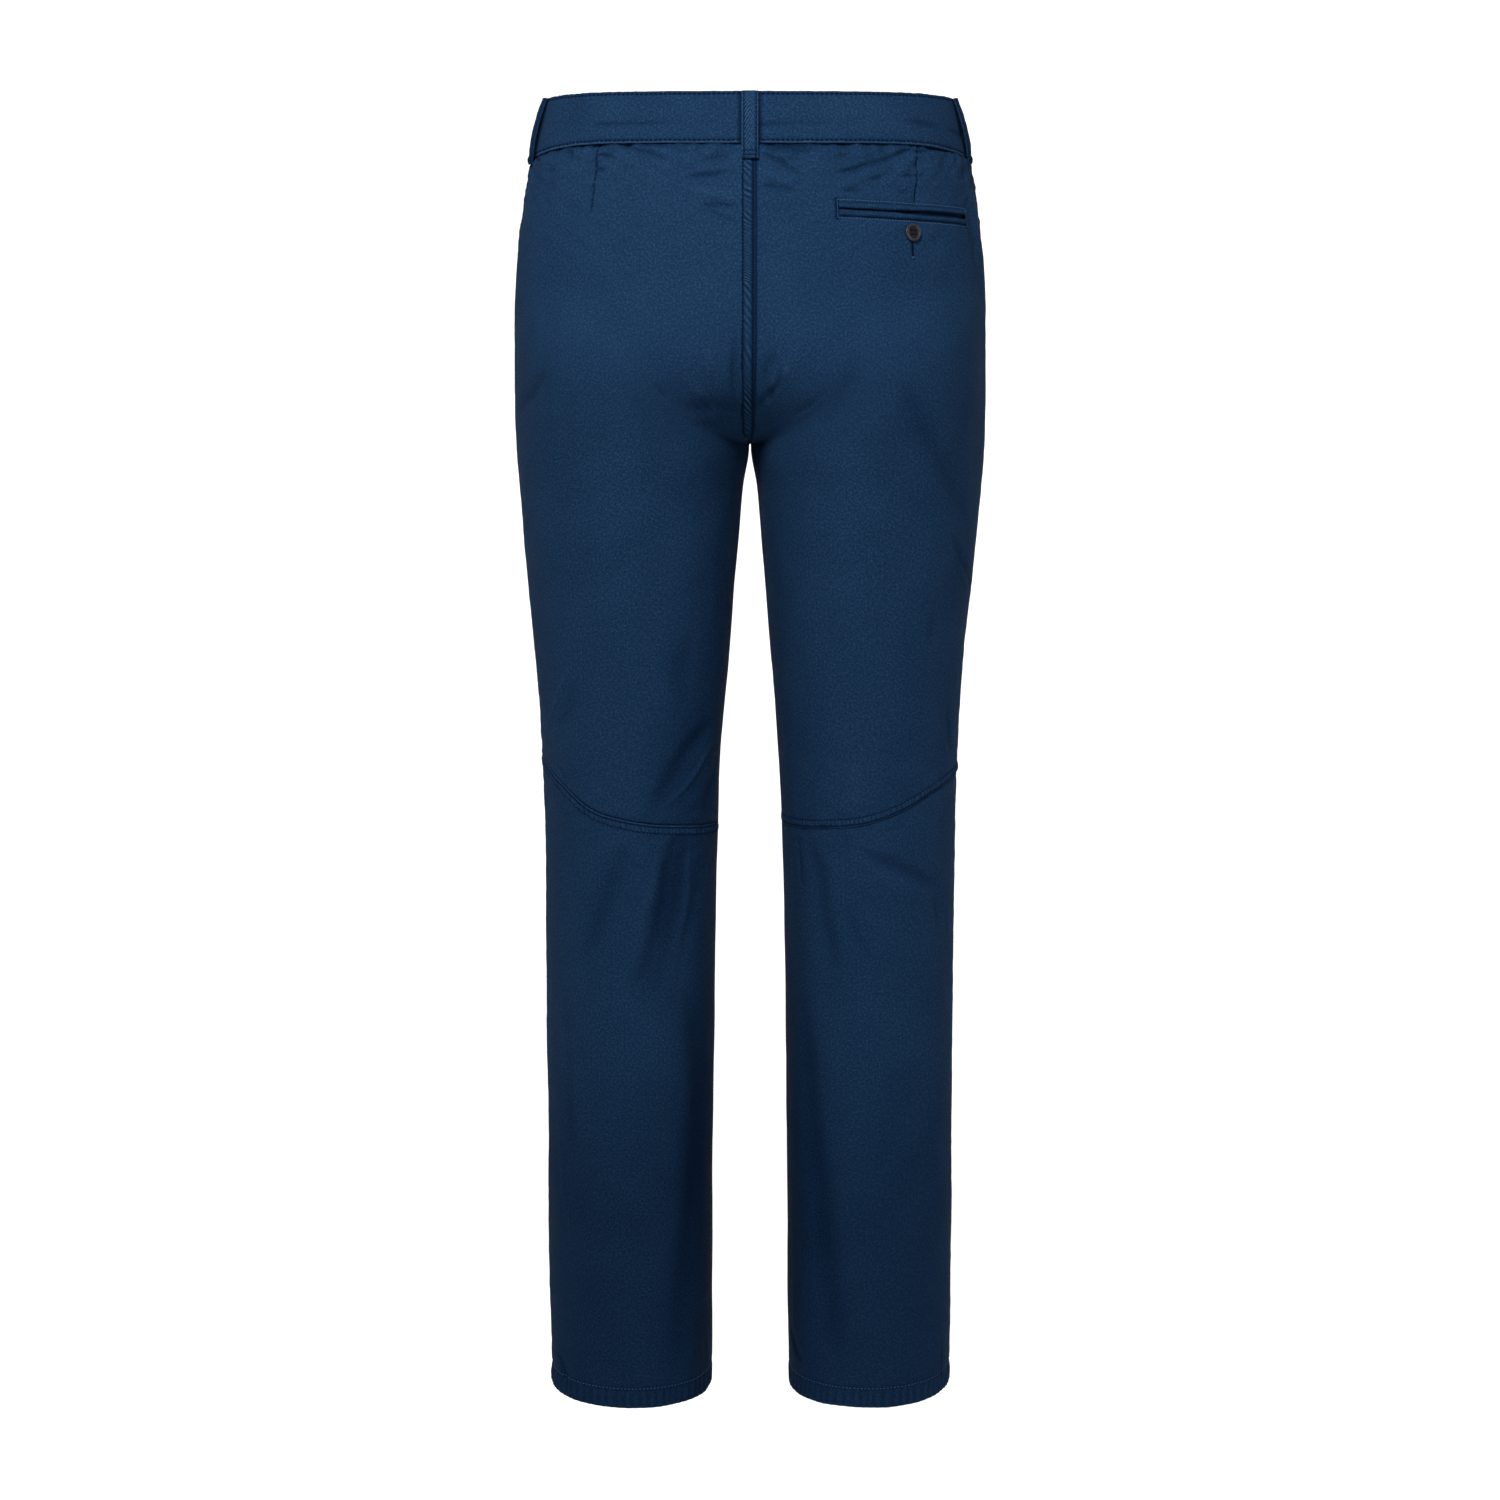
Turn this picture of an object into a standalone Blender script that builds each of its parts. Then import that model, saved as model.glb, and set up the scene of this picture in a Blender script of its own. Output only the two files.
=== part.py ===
# Hiking trousers, filled out as worn, with no wearer inside.
# Metres. Origin at the middle of the waist opening, +Z up, back to -Y, wearer's right to +X.
# A panel is a wall of cloth between two grids of points: its face and the same points moved in.
# A point of the surface is given by the leg's side (+1 right, -1 left), an angle round the
# half-garment (0 at the side seam, -180 at the back seam or inseam, +180 at the front one)
# and a level, which is the height at the side seam.

import math

import bmesh
import bpy
import numpy as np
from mathutils import Matrix, Vector

# ---- driving dimensions ----
COLLECTION_NAME = "hiking_trousers"
CLOTH = 0.0012               # wall of a single panel
BAND_WALL = 0.0022           # the waistband is two layers and a stiffening
HEM_WALL = 0.0024            # the hem is turned up twice
LOOP_WALL = 0.0016           # a belt loop is cloth folded in three
FELL_WALL = 0.0008           # the folded allowance of a felled seam
WELT_WALL = 0.0010
GAP = 0.0003                 # between any two pieces
HALF_GAP = GAP / 2

HEM = -1.071                 # level of the hem
HEM_HEIGHT = 0.0185          # depth of the turned hem
HEM_SLANT = 0.0012           # the hem is this much lower at the inseam and higher outside
RISE_TOP = -0.145            # below this the back and front seams curve in to the crotch
CROTCH = -0.2765             # level where the four panels meet
RISE = RISE_TOP - CROTCH
CLEFT_SOFTNESS = 0.13        # rounds the valley along the back seam
CLEFT_FADE = 0.08            # and has gone this far below the crotch
DEPTH_SAMPLES = [math.radians(90 + 5 * i) for i in range(19)]  # a section is deepest at one
SLOPE_STEP = 0.0005          # for surface normals: step in level
TURN_STEP = 0.02             # and in angle

BAND_PROUD = 0.0006          # the waistband stands out from the panels
BAND_DIP = (0.0040, 0.0100)  # top edge below the origin's height: side seam, centre front
WAIST_SEAM = -0.0395         # level of the waist seam at the centre back
SEAM_DROP = (0.0130, 0.0155)  # and how much lower it is: side seam, centre front
WAIST_FADE = 0.120           # rows are level again this far below the waist seam
LAP_OVER = 0.017             # the waistband's outer end passes the centre front by this
LAP_UNDER = 0.020            # and its inner end passes it the other way
LAP_RAMP = 0.014

FELL_LEFT = 0.0068           # the back seam's fell, left of the seam
FELL_RIGHT = 0.0044          # and right of it
FELL_END = -0.228            # level where the fell stops, just short of the crotch
FLY_HALF = 0.0042            # the fly's folded edge, each side of the centre front
FLY_END = -0.190
KNEE_FELL = 0.0090           # width of the fell along the knee seam

LOOP_WIDTH = 0.0125
LOOP_TOP = 0.0008            # a loop's top edge lies this much below the waistband's
LOOP_CLEAR = 0.0010          # least distance over the waistband and its seam
POCKET_WELT = 0.0050         # height of one welt
POCKET_SLIT = 0.0010         # the mouth between the welts
WELT_PLUMP = 1.4             # a welt's middle is this much thicker than its edges
WELT_MARGIN = 0.05           # radians from a welt's end to its next column
BUTTON_RADIUS = 0.0072
BUTTON_THICKNESS = 0.0026
BUTTON_HOLE = 0.0008         # radius
BUTTON_HOLE_PITCH = 0.0015   # each hole from the middle, along and across

# Sections, from the waist to the hem. Outer and inner: the half-garment's reach from the
# middle plane. Back and front: its reach along Y. Fullness squares an ellipse off a little.
SECTION_COLUMNS = ("level", "outer", "inner", "back", "front", "fullness")
SECTIONS = (
    (0.000, 0.1632, 0.0000, 0.100, 0.104, 0.05),
    (-0.045, 0.1742, 0.0000, 0.112, 0.110, 0.05),
    (-0.090, 0.1822, 0.0000, 0.121, 0.111, 0.05),
    (-0.145, 0.1876, 0.0000, 0.129, 0.110, 0.06),
    (-0.200, 0.1892, 0.0000, 0.133, 0.107, 0.07),
    (-0.245, 0.1896, 0.0000, 0.128, 0.102, 0.07),
    (-0.279, 0.1889, 0.0000, 0.120, 0.097, 0.06),
    (-0.310, 0.1871, 0.0050, 0.114, 0.095, 0.05),
    (-0.360, 0.1832, 0.0097, 0.108, 0.091, 0.05),
    (-0.450, 0.1753, 0.0171, 0.099, 0.084, 0.04),
    (-0.540, 0.1709, 0.0243, 0.092, 0.078, 0.04),
    (-0.620, 0.1692, 0.0271, 0.088, 0.073, 0.04),
    (-0.720, 0.1692, 0.0289, 0.086, 0.069, 0.03),
    (-0.850, 0.1692, 0.0303, 0.085, 0.063, 0.03),
    (-0.980, 0.1696, 0.0312, 0.085, 0.058, 0.02),
    (-1.075, 0.1689, 0.0323, 0.085, 0.054, 0.02),
)

# The knee seam across the back of each leg, from the inseam round to the side seam.
KNEE_COLUMNS = ("angle", "left", "right")
KNEE_SEAM = (
    (-180, -0.5885, -0.5890),
    (-130, -0.5808, -0.5835),
    (-90, -0.5735, -0.5755),
    (-65, -0.5640, -0.5635),
    (-45, -0.5480, -0.5525),
    (-25, -0.5365, -0.5460),
    (0, -0.5310, -0.5450),
)

# Folds: a trough has a negative depth. Angles in degrees, the rest in metres.
FOLD_COLUMNS = ("side", "angle_a", "level_a", "angle_b", "level_b", "width", "depth")
FOLDS = (
    (-1, -115, -0.605, -92, -0.745, 0.016, -0.0045),   # drag from the left inner knee
    (-1, -150, -0.625, -146, -0.760, 0.014, 0.0030),
    (-1, -80, -0.600, -68, -0.700, 0.018, -0.0020),
    (-1, -150, -0.500, -118, -0.565, 0.016, -0.0022),
    (-1, -38, -0.430, -55, -0.500, 0.020, -0.0018),
    (1, -105, -0.600, -75, -0.650, 0.016, -0.0022),
    (1, -128, -0.600, -118, -0.720, 0.018, -0.0022),
    (1, -28, -0.330, -40, -0.400, 0.018, -0.0018),
    (-1, -165, -0.215, -140, -0.240, 0.016, -0.0022),  # under the seat, beside the back seam
    (1, -165, -0.215, -138, -0.238, 0.016, -0.0022),
    (-1, -30, -0.060, -34, -0.110, 0.014, 0.0015),
    (1, -30, -0.070, -24, -0.150, 0.014, 0.0015),
    (-1, 150, -0.250, 95, -0.205, 0.016, -0.0025),     # front: drags from the crotch
    (1, 150, -0.250, 95, -0.200, 0.016, -0.0025),
    (-1, 70, -0.560, 120, -0.600, 0.018, -0.0025),     # front: break at the knee
    (1, 70, -0.570, 125, -0.615, 0.018, -0.0025),
    (-1, 60, -0.700, 100, -0.760, 0.018, -0.0018),
    (1, 60, -0.690, 105, -0.770, 0.018, -0.0018),
)

# Darts: a stitched ridge with a shallow trough beside it, from the waist seam down.
DART_COLUMNS = ("side", "angle", "top", "bottom", "depth")
DARTS = (
    (-1, -97, -0.0395, -0.092, 0.0012),
    (1, -89, -0.0395, -0.083, 0.0012),
)
DART_WIDTH = 0.0075

# Belt loops: the level of each one's lower edge, and what that has to clear there.
LOOP_COLUMNS = ("name", "side", "angle", "bottom", "clearance")
LOOPS = (
    ("belt_loop_back", 1, -180, -0.0515, 0.0015),
    ("belt_loop_left", -1, -24, -0.0555, 0.0004),
    ("belt_loop_right", 1, -22, -0.0555, 0.0004),
    ("belt_loop_front_left", -1, 118, -0.0555, 0.0004),
    ("belt_loop_front_right", 1, 118, -0.0555, 0.0004),
)
# A loop's bow: share of its length, distance from the body.
LOOP_BOW = ((0.0, 0.0010), (0.10, 0.0017), (0.28, 0.0026), (0.50, 0.0030),
            (0.70, 0.0026), (0.86, 0.0017), (0.93, 0.0), (1.0, 0.0))

# The back pocket's mouth: its ends on the right back panel.
POCKET = {"angle_in": -138.0, "angle_out": -46.0, "level_in": -0.0896, "level_out": -0.0945}
BUTTONS = {
    "pocket_button": {"side": 1, "angle": -97.5, "level": -0.1067, "clearance": 0.0},
    "waist_button": {"side": -1, "angle": 178.0, "level": -0.0320, "clearance": 0.0033},
}

# Half of a button's outline: share of its radius, share of its thickness.
BUTTON_PROFILE = ((0.0, 0.0), (0.78, 0.0), (0.96, 0.30), (1.0, 0.55), (0.95, 0.88),
                  (0.84, 1.0), (0.72, 0.92), (0.62, 0.69), (0.0, 0.69))

# Materials: base colour, roughness.
FINISHES = {
    "body_cloth": ((0.016, 0.043, 0.098), 0.85),
    "band_cloth": ((0.018, 0.046, 0.103), 0.85),
    "seam_cloth": ((0.015, 0.041, 0.094), 0.85),
    "loop_cloth": ((0.017, 0.045, 0.101), 0.85),
    "welt_cloth": ((0.015, 0.040, 0.092), 0.85),
    "button_horn": ((0.020, 0.014, 0.018), 0.35),
}

# Grid: columns round half a leg, and rows down a panel.
COLUMNS = 15
TORSO_ROWS = (-0.060, -0.080, -0.100, -0.122, -0.145)
RISE_STEPS = (0.14, 0.28, 0.42, 0.53, 0.62, 0.72, 0.82, 0.91, 1.0)
THIGH_ROWS = (-0.288, -0.305, -0.330, -0.362, -0.400, -0.440, -0.475, -0.510)
KNEE_FADE = (-0.475, -0.720)  # rows bend towards the knee seam between these levels
FRONT_KNEE_ROWS = (-0.545, -0.580)
CALF_ROWS = (-0.615, -0.645, -0.675, -0.710, -0.750, -0.800, -0.860, -0.920, -0.980)
HEM_ROWS = 3
BAND_ROWS = 4
LOOP_COLUMNS_ACROSS = 4


def column(table, names, name, at):
    """One column of a table, read at any place by a smooth curve through the rows."""
    rows = np.array(table, dtype=float)
    key = rows[:, 0]
    if key[0] > key[-1]:
        key = -key
        at = -np.asarray(at, dtype=float)
    values = rows[:, names.index(name)]
    slopes = np.gradient(values, key)
    slopes[values == 0] = 0
    at = np.clip(np.asarray(at, dtype=float), key[0], key[-1])
    i = np.clip(np.searchsorted(key, at) - 1, 0, len(key) - 2)
    span = key[i + 1] - key[i]
    t = (at - key[i]) / span
    start = (2 * t**3 - 3 * t**2 + 1) * values[i] + (t**3 - 2 * t**2 + t) * span * slopes[i]
    end = (3 * t**2 - 2 * t**3) * values[i + 1] + (t**3 - t**2) * span * slopes[i + 1]
    return start + end


def section(name, level):
    return column(SECTIONS, SECTION_COLUMNS, name, level)


def ease(t):
    t = np.clip(t, 0, 1)
    return t * t * (3 - 2 * t)


def rise(angle, level):
    """Height of a point, and how far its ring has closed into a leg's (0 to 1)."""
    u = np.clip((RISE_TOP - level) / RISE, 0, 1)
    closed = ease(u)
    curve = RISE_TOP - RISE * np.sqrt(np.clip(1 - (1 - closed) ** 2, 0, 1))
    inward = ((1 - np.cos(angle)) / 2) ** 3
    height = np.where((u > 0) & (u < 1), level + inward * (curve - level), level)
    return height, closed


def depth_share(angle, closed, full, soft):
    """Where a point lies front to back in its section: the torso's half-ring or a leg's ring."""
    torso = np.sin(angle / 2) * (1 + full * np.cos(angle / 2) ** 2)
    sine = np.sin(angle)
    rounded = (np.sqrt(sine**2 + soft**2) - soft) / (np.sqrt(1 + soft**2) - soft)
    leg = np.sign(sine) * rounded * (1 + full * np.cos(angle) ** 2)
    return (1 - closed) * torso + closed * leg


def bare_point(side, angle, level):
    """A point of the smooth form: the torso's half-ring, closing into the leg's ring."""
    angle, level = np.broadcast_arrays(np.asarray(angle, float), np.asarray(level, float))
    height, closed = rise(angle, level)
    outer = section("outer", height)
    inner = np.where(level >= CROTCH, 0.0, section("inner", height))
    back = section("back", height)
    front = section("front", height)
    full = section("fullness", height)
    half = angle / 2
    centre = (outer + inner) / 2
    radius = (outer - inner) / 2
    torso_x = outer * np.cos(half) * (1 + full * np.sin(half) ** 2)
    leg_x = centre + radius * np.cos(angle) * (1 + full * np.sin(angle) ** 2)
    x = (1 - closed) * torso_x + closed * leg_x
    soft = CLEFT_SOFTNESS * (1 - ease((CROTCH - level) / CLEFT_FADE))
    share = depth_share(angle, closed, full, soft)
    furthest = np.zeros(share.shape)
    for turn in DEPTH_SAMPLES:
        furthest = np.maximum(furthest, depth_share(turn, closed, full, soft))
    y = (front - back) / 2 + (front + back) / 2 * share / furthest
    return np.stack([side * (x + HALF_GAP), y, height], axis=-1)


def unit(vectors):
    return vectors / np.linalg.norm(vectors, axis=-1, keepdims=True)


def normal(side, angle, level):
    """Outward normals. On a centre seam or an inseam both panels share one normal."""
    angle, level = np.broadcast_arrays(np.asarray(angle, float), np.asarray(level, float))
    turn = np.clip(angle, TURN_STEP * 2 - math.pi, math.pi - TURN_STEP * 2)
    around = bare_point(side, turn + TURN_STEP, level) - bare_point(side, turn - TURN_STEP, level)
    down = bare_point(side, turn, level - SLOPE_STEP) - bare_point(side, turn, level + SLOPE_STEP)
    out = unit(np.cross(down, around) * side)
    edge = np.abs(np.abs(angle) - math.pi) < 1e-6
    out[..., 0] = np.where(edge & (level > CROTCH + SLOPE_STEP), 0, out[..., 0])
    out[..., 1] = np.where(edge & (level < CROTCH - SLOPE_STEP), 0, out[..., 1])
    return unit(out)


def ring_radius(level):
    """Metres of cloth for a radian of angle, near enough."""
    reach = section("outer", level) - section("inner", level)
    depth = (section("back", level) + section("front", level)) / 2
    return (reach / 2 + depth) / 2


def fold_depth(side, angle, level):
    """How far the folds and darts move the surface out."""
    depth = np.zeros(np.broadcast(angle, level).shape)
    across = ring_radius(level) * angle
    for row in FOLDS:
        fold = dict(zip(FOLD_COLUMNS, row))
        if fold["side"] != side:
            continue
        start_x = ring_radius(fold["level_a"]) * math.radians(fold["angle_a"])
        end_x = ring_radius(fold["level_b"]) * math.radians(fold["angle_b"])
        run_x = end_x - start_x
        run_z = fold["level_b"] - fold["level_a"]
        t = ((across - start_x) * run_x + (level - fold["level_a"]) * run_z) / (run_x**2 + run_z**2)
        t = np.clip(t, 0, 1)
        away_x = across - start_x - t * run_x
        away_z = level - fold["level_a"] - t * run_z
        away = (away_x**2 + away_z**2) / fold["width"] ** 2
        depth = depth + fold["depth"] * np.exp(-away) * (1 - np.abs(2 * t - 1) ** 4 * 0.6)
    for row in DARTS:
        dart = dict(zip(DART_COLUMNS, row))
        if dart["side"] != side:
            continue
        away = (across - ring_radius(level) * math.radians(dart["angle"])) / DART_WIDTH
        length = ease((level - dart["bottom"]) / (dart["top"] - dart["bottom"]))
        depth = depth - dart["depth"] * length * np.exp(-(away**2))
    return depth


def surface(side, angle, level, out=0.0):
    """Points of the cloth's face, moved out by a distance."""
    moved = fold_depth(side, angle, level) + out
    return bare_point(side, angle, level) + normal(side, angle, level) * moved[..., None]


def waist_seam(angle):
    """Level of the waist seam: level across the back, dropping over the hip to the front."""
    side_drop, front_drop = SEAM_DROP
    across = np.cos(angle / 2) ** 2
    behind = side_drop * across**4
    ahead = front_drop + (side_drop - front_drop) * across**4
    return WAIST_SEAM - np.where(angle < 0, behind, ahead)


def waist_top(angle):
    side_dip, front_dip = BAND_DIP
    across = np.cos(angle / 2) ** 2
    behind = side_dip * across**4
    ahead = front_dip + (side_dip - front_dip) * across
    return -np.where(angle < 0, behind, ahead)


def knee_seam(side, angle):
    return column(KNEE_SEAM, KNEE_COLUMNS, "right" if side > 0 else "left", np.degrees(angle))


def hem_level(angle):
    return HEM + HEM_SLANT * np.cos(angle)


def angle_at(side, facing, reach, level):
    """The angle whose point lies a given distance from the middle plane."""
    low, high = 0.0, math.radians(60)
    for _ in range(30):
        turn = (low + high) / 2
        x = abs(bare_point(side, facing * (math.pi - turn), level)[0])
        if x < reach:
            low = turn
        else:
            high = turn
    return high


def edge_turn(side, facing, level):
    """Angle from the centre seam to the first column, which edges the fell or the fly."""
    reach = FLY_HALF if facing > 0 else (FELL_RIGHT if side > 0 else FELL_LEFT)
    regular = math.pi / COLUMNS
    lowest = CROTCH + RISE * (1 - RISE_STEPS[-2])
    turn = angle_at(side, facing, reach, max(level, lowest))
    return turn + (regular - turn) * float(ease((CROTCH - level) / CLEFT_FADE))


def column_angles(side, facing, level):
    """Angles of one row's columns, from the centre seam or inseam to the side seam."""
    turn = edge_turn(side, facing, level)
    rest = [turn + (math.pi - turn) * i / (COLUMNS - 1) for i in range(COLUMNS)]
    return facing * (math.pi - np.array([0.0] + rest))


def torso_levels():
    return list(TORSO_ROWS) + [RISE_TOP - RISE * step for step in RISE_STEPS]


def panel_grid(side, facing, levels, bend):
    """Angles and levels of a panel's points. Bend gives each row's own level by angle."""
    angles = np.array([column_angles(side, facing, level) for level in levels])
    rows = np.array([bend(level, angles[i]) for i, level in enumerate(levels)])
    return angles, rows


def bend_waist(level, angles):
    fade = 1 - ease((WAIST_SEAM - level) / WAIST_FADE)
    return level + (waist_seam(angles) - HALF_GAP - WAIST_SEAM) * fade


def bend_knee(side, level, angles):
    """Rows near the knee follow its seam; the seam's mean level is where they follow it fully."""
    top, bottom = KNEE_FADE
    seam = knee_seam(side, angles)
    mean = float(np.mean(seam))
    above = ease((top - level) / (top - mean))
    below = ease((level - bottom) / (mean - bottom))
    follow = above if level >= mean else below
    return level + (seam - mean) * follow


def thickness(angles, levels):
    """The wall of a panel: the turned hem is thicker."""
    hem = levels < hem_level(angles) + HEM_HEIGHT + SLOPE_STEP
    return np.where(hem, HEM_WALL, CLOTH)


def add_material(name):
    colour, roughness = FINISHES[name]
    material = bpy.data.materials.get(name) or bpy.data.materials.new(name)
    material.use_nodes = True
    shader = material.node_tree.nodes["Principled BSDF"]
    shader.inputs["Base Color"].default_value = (*colour, 1.0)
    shader.inputs["Roughness"].default_value = roughness
    shader.inputs["Metallic"].default_value = 0.0
    return material


def add_object(name, mesh, material):
    item = bpy.data.objects.new(name, mesh)
    item.data.materials.append(add_material(material))
    bpy.data.collections[COLLECTION_NAME].objects.link(item)
    return item


def loft_wall(name, face, back, material):
    """A closed solid between two grids of points."""
    rows, columns = face.shape[:2]
    mesh = bmesh.new()
    outside = [[mesh.verts.new(point) for point in row] for row in face]
    inside = [[mesh.verts.new(point) for point in row] for row in back]
    for i in range(rows - 1):
        for j in range(columns - 1):
            k = j + 1
            mesh.faces.new((outside[i][j], outside[i + 1][j], outside[i + 1][k], outside[i][k]))
            mesh.faces.new((inside[i][j], inside[i][k], inside[i + 1][k], inside[i + 1][j]))
    for j in range(columns - 1):
        k = j + 1
        mesh.faces.new((outside[0][j], outside[0][k], inside[0][k], inside[0][j]))
        mesh.faces.new((outside[-1][k], outside[-1][j], inside[-1][j], inside[-1][k]))
    for i in range(rows - 1):
        mesh.faces.new((outside[i + 1][0], outside[i][0], inside[i][0], inside[i + 1][0]))
        mesh.faces.new((outside[i][-1], outside[i + 1][-1], inside[i + 1][-1], inside[i][-1]))
    bmesh.ops.triangulate(mesh, faces=mesh.faces, quad_method="SHORT_EDGE")
    bmesh.ops.recalc_face_normals(mesh, faces=mesh.faces)
    data = bpy.data.meshes.new(name)
    mesh.to_mesh(data)
    mesh.free()
    data.shade_smooth()
    data.set_sharp_from_angle(angle=math.radians(40))
    return add_object(name, data, material)


def add_panel(name, side, facing, angles, levels):
    """A panel of body cloth, moved off the side seam and the inseam by half a gap."""
    aside = np.array([0.0, facing * HALF_GAP, 0.0])
    wall = thickness(angles, levels)
    face = surface(side, angles, levels) + aside
    back = surface(side, angles, levels, -wall) + aside
    return loft_wall(name, face, back, "body_cloth")


def knee_level(side):
    """Mean level of the knee seam across the back of a leg."""
    return float(np.mean(knee_seam(side, column_angles(side, -1, KNEE_FADE[0]))))


def add_back(name, side):
    """Upper back panel: waist seam to knee seam."""
    levels = [WAIST_SEAM] + torso_levels() + list(THIGH_ROWS)
    knee = knee_level(side)
    levels += [knee + KNEE_FELL * 2, knee + KNEE_FELL, knee + HALF_GAP]

    def bend(level, angles):
        if level > RISE_TOP - RISE / 2:
            return bend_waist(level, angles)
        return bend_knee(side, level, angles)

    angles, rows = panel_grid(side, -1, levels, bend)
    add_panel(name, side, -1, angles, rows)
    if side > 0:
        add_knee_fell("knee_fell_right", side, angles[-2:], rows[-2:])
    return angles, rows


def add_calf(name, side):
    """Lower back panel: knee seam to hem."""
    knee = knee_level(side)
    levels = [knee - HALF_GAP, knee - KNEE_FELL] + list(CALF_ROWS)
    angles, rows = panel_grid(side, -1, levels, lambda level, turn: bend_knee(side, level, turn))
    angles, rows = add_hem_rows(angles, rows)
    add_panel(name, side, -1, angles, rows)
    if side < 0:
        add_knee_fell("knee_fell_left", side, angles[:2], rows[:2])


def add_hem_rows(angles, rows):
    """The last rows: down to the turned hem, its step in thickness, and its edge."""
    turn = angles[-1]
    edge = hem_level(turn)
    top = edge + HEM_HEIGHT
    extra = [top + SLOPE_STEP * 3, top]
    extra += [edge + HEM_HEIGHT * (1 - i / (HEM_ROWS - 1)) for i in range(1, HEM_ROWS)]
    angles = np.concatenate([angles, np.array([turn] * len(extra))])
    rows = np.concatenate([rows, np.array(extra)])
    return angles, rows


def add_front(name, side):
    """Front panel: waist seam to hem, in one length."""
    levels = [WAIST_SEAM] + torso_levels() + list(THIGH_ROWS + FRONT_KNEE_ROWS + CALF_ROWS)
    angles, rows = panel_grid(side, 1, levels, bend_waist)
    angles, rows = add_hem_rows(angles, rows)
    add_panel(name, side, 1, angles, rows)
    return angles, rows


def add_knee_fell(name, side, angles, rows):
    """The knee seam's folded allowance, lying on the panel between two of its rows."""
    rows = rows + np.array([[-HALF_GAP], [HALF_GAP]]) * np.sign(rows[0] - rows[1])
    aside = np.array([0.0, -HALF_GAP, 0.0])
    face = surface(side, angles, rows, GAP + FELL_WALL) + aside
    back = surface(side, angles, rows, GAP) + aside
    return loft_wall(name, face, back, "seam_cloth")


def add_seam_strip(name, facing, left, right, end_level):
    """A strip over a centre seam, made from the first two columns of both panels."""
    aside = np.array([0.0, facing * HALF_GAP, 0.0])
    keep = [i for i in range(len(left[1])) if left[1][i][0] > end_level]
    face, back = [], []
    for i in keep:
        places = []
        for side, (angles, rows), order in ((-1, left, [1, 0]), (1, right, [0, 1])):
            places.append((side, angles[i][order], rows[i][order]))
        for grid, out in ((face, GAP + FELL_WALL), (back, GAP)):
            grid.append(np.concatenate([surface(*place, out) for place in places]) + aside)
    return loft_wall(name, np.array(face), np.array(back), "seam_cloth")


def waistband_places():
    """Places round the waistband, inner end to outer end: side, angle, lift."""
    middle = WAIST_SEAM / 2
    under = angle_at(1, 1, LAP_UNDER, middle)
    over = angle_at(1, 1, LAP_OVER, middle)
    ramp = angle_at(1, 1, LAP_RAMP, middle)
    raised = BAND_WALL + GAP
    regular = np.linspace(math.pi, -math.pi, COLUMNS * 2 + 1)
    half_step = math.pi / (COLUMNS * 2)
    foot = math.pi - under - ramp
    places = [(-1, math.pi - under, 0.0)]
    places += [(1, turn, 0.0) for turn in regular]
    places += [(-1, turn, 0.0) for turn in regular[-2::-1] if turn < foot - half_step]
    places.append((-1, foot, 0.0))
    places.append((-1, math.pi - under - GAP / LAP_UNDER, raised))
    places.append((-1, math.pi - under / 2, raised))
    places.append((1, math.pi, raised))
    places.append((1, math.pi - over / 2, raised))
    places.append((1, math.pi - over, raised))
    return places


def add_waistband():
    """One strip round the waist, its ends lapping at the centre front."""
    face, back = [], []
    for part in np.linspace(0, 1, BAND_ROWS):
        outer_row, inner_row = [], []
        for side, turn, lift in waistband_places():
            top = waist_top(turn)
            low = waist_seam(turn) + HALF_GAP
            level = top + (low - top) * part
            base = bare_point(side, turn, level)
            away = normal(side, turn, level)
            outer_row.append(base + away * (BAND_PROUD + lift))
            inner_row.append(base + away * (BAND_PROUD + lift - BAND_WALL))
        face.append(outer_row)
        back.append(inner_row)
    return loft_wall("waistband", np.array(face), np.array(back), "band_cloth")


def add_belt_loop(name, side, angle, bottom, clearance):
    """A flat loop, bowed off the waistband and sewn down above and below it."""
    turn = math.radians(angle)
    top = float(waist_top(turn)) - LOOP_TOP
    face, back = [], []
    for part, bow in LOOP_BOW:
        level = top + (bottom - top) * part
        clear = max(bow, clearance)
        if level > waist_seam(turn) - LOOP_CLEAR:
            clear = max(clear, LOOP_CLEAR)
        outer_row, inner_row = [], []
        for across in np.linspace(-LOOP_WIDTH / 2, LOOP_WIDTH / 2, LOOP_COLUMNS_ACROSS):
            leg, place = loop_place(side, turn, across, level)
            base = bare_point(leg, place, level)
            away = normal(leg, place, level)
            outer_row.append(base + away * (clear + LOOP_WALL))
            inner_row.append(base + away * clear)
        face.append(outer_row)
        back.append(inner_row)
    return loft_wall(name, np.array(face), np.array(back), "loop_cloth")


def loop_place(side, turn, offset, level):
    """Side and angle of a point beside a loop's middle line."""
    if abs(abs(turn) - math.pi) < 1e-6:
        leg = 1 if offset > 0 else -1
        return leg, angle_at(leg, -1, abs(offset), level) - math.pi
    here = bare_point(side, turn, level)
    there = bare_point(side, turn + TURN_STEP, level)
    return side, turn + offset * TURN_STEP / np.linalg.norm(there - here)


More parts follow.
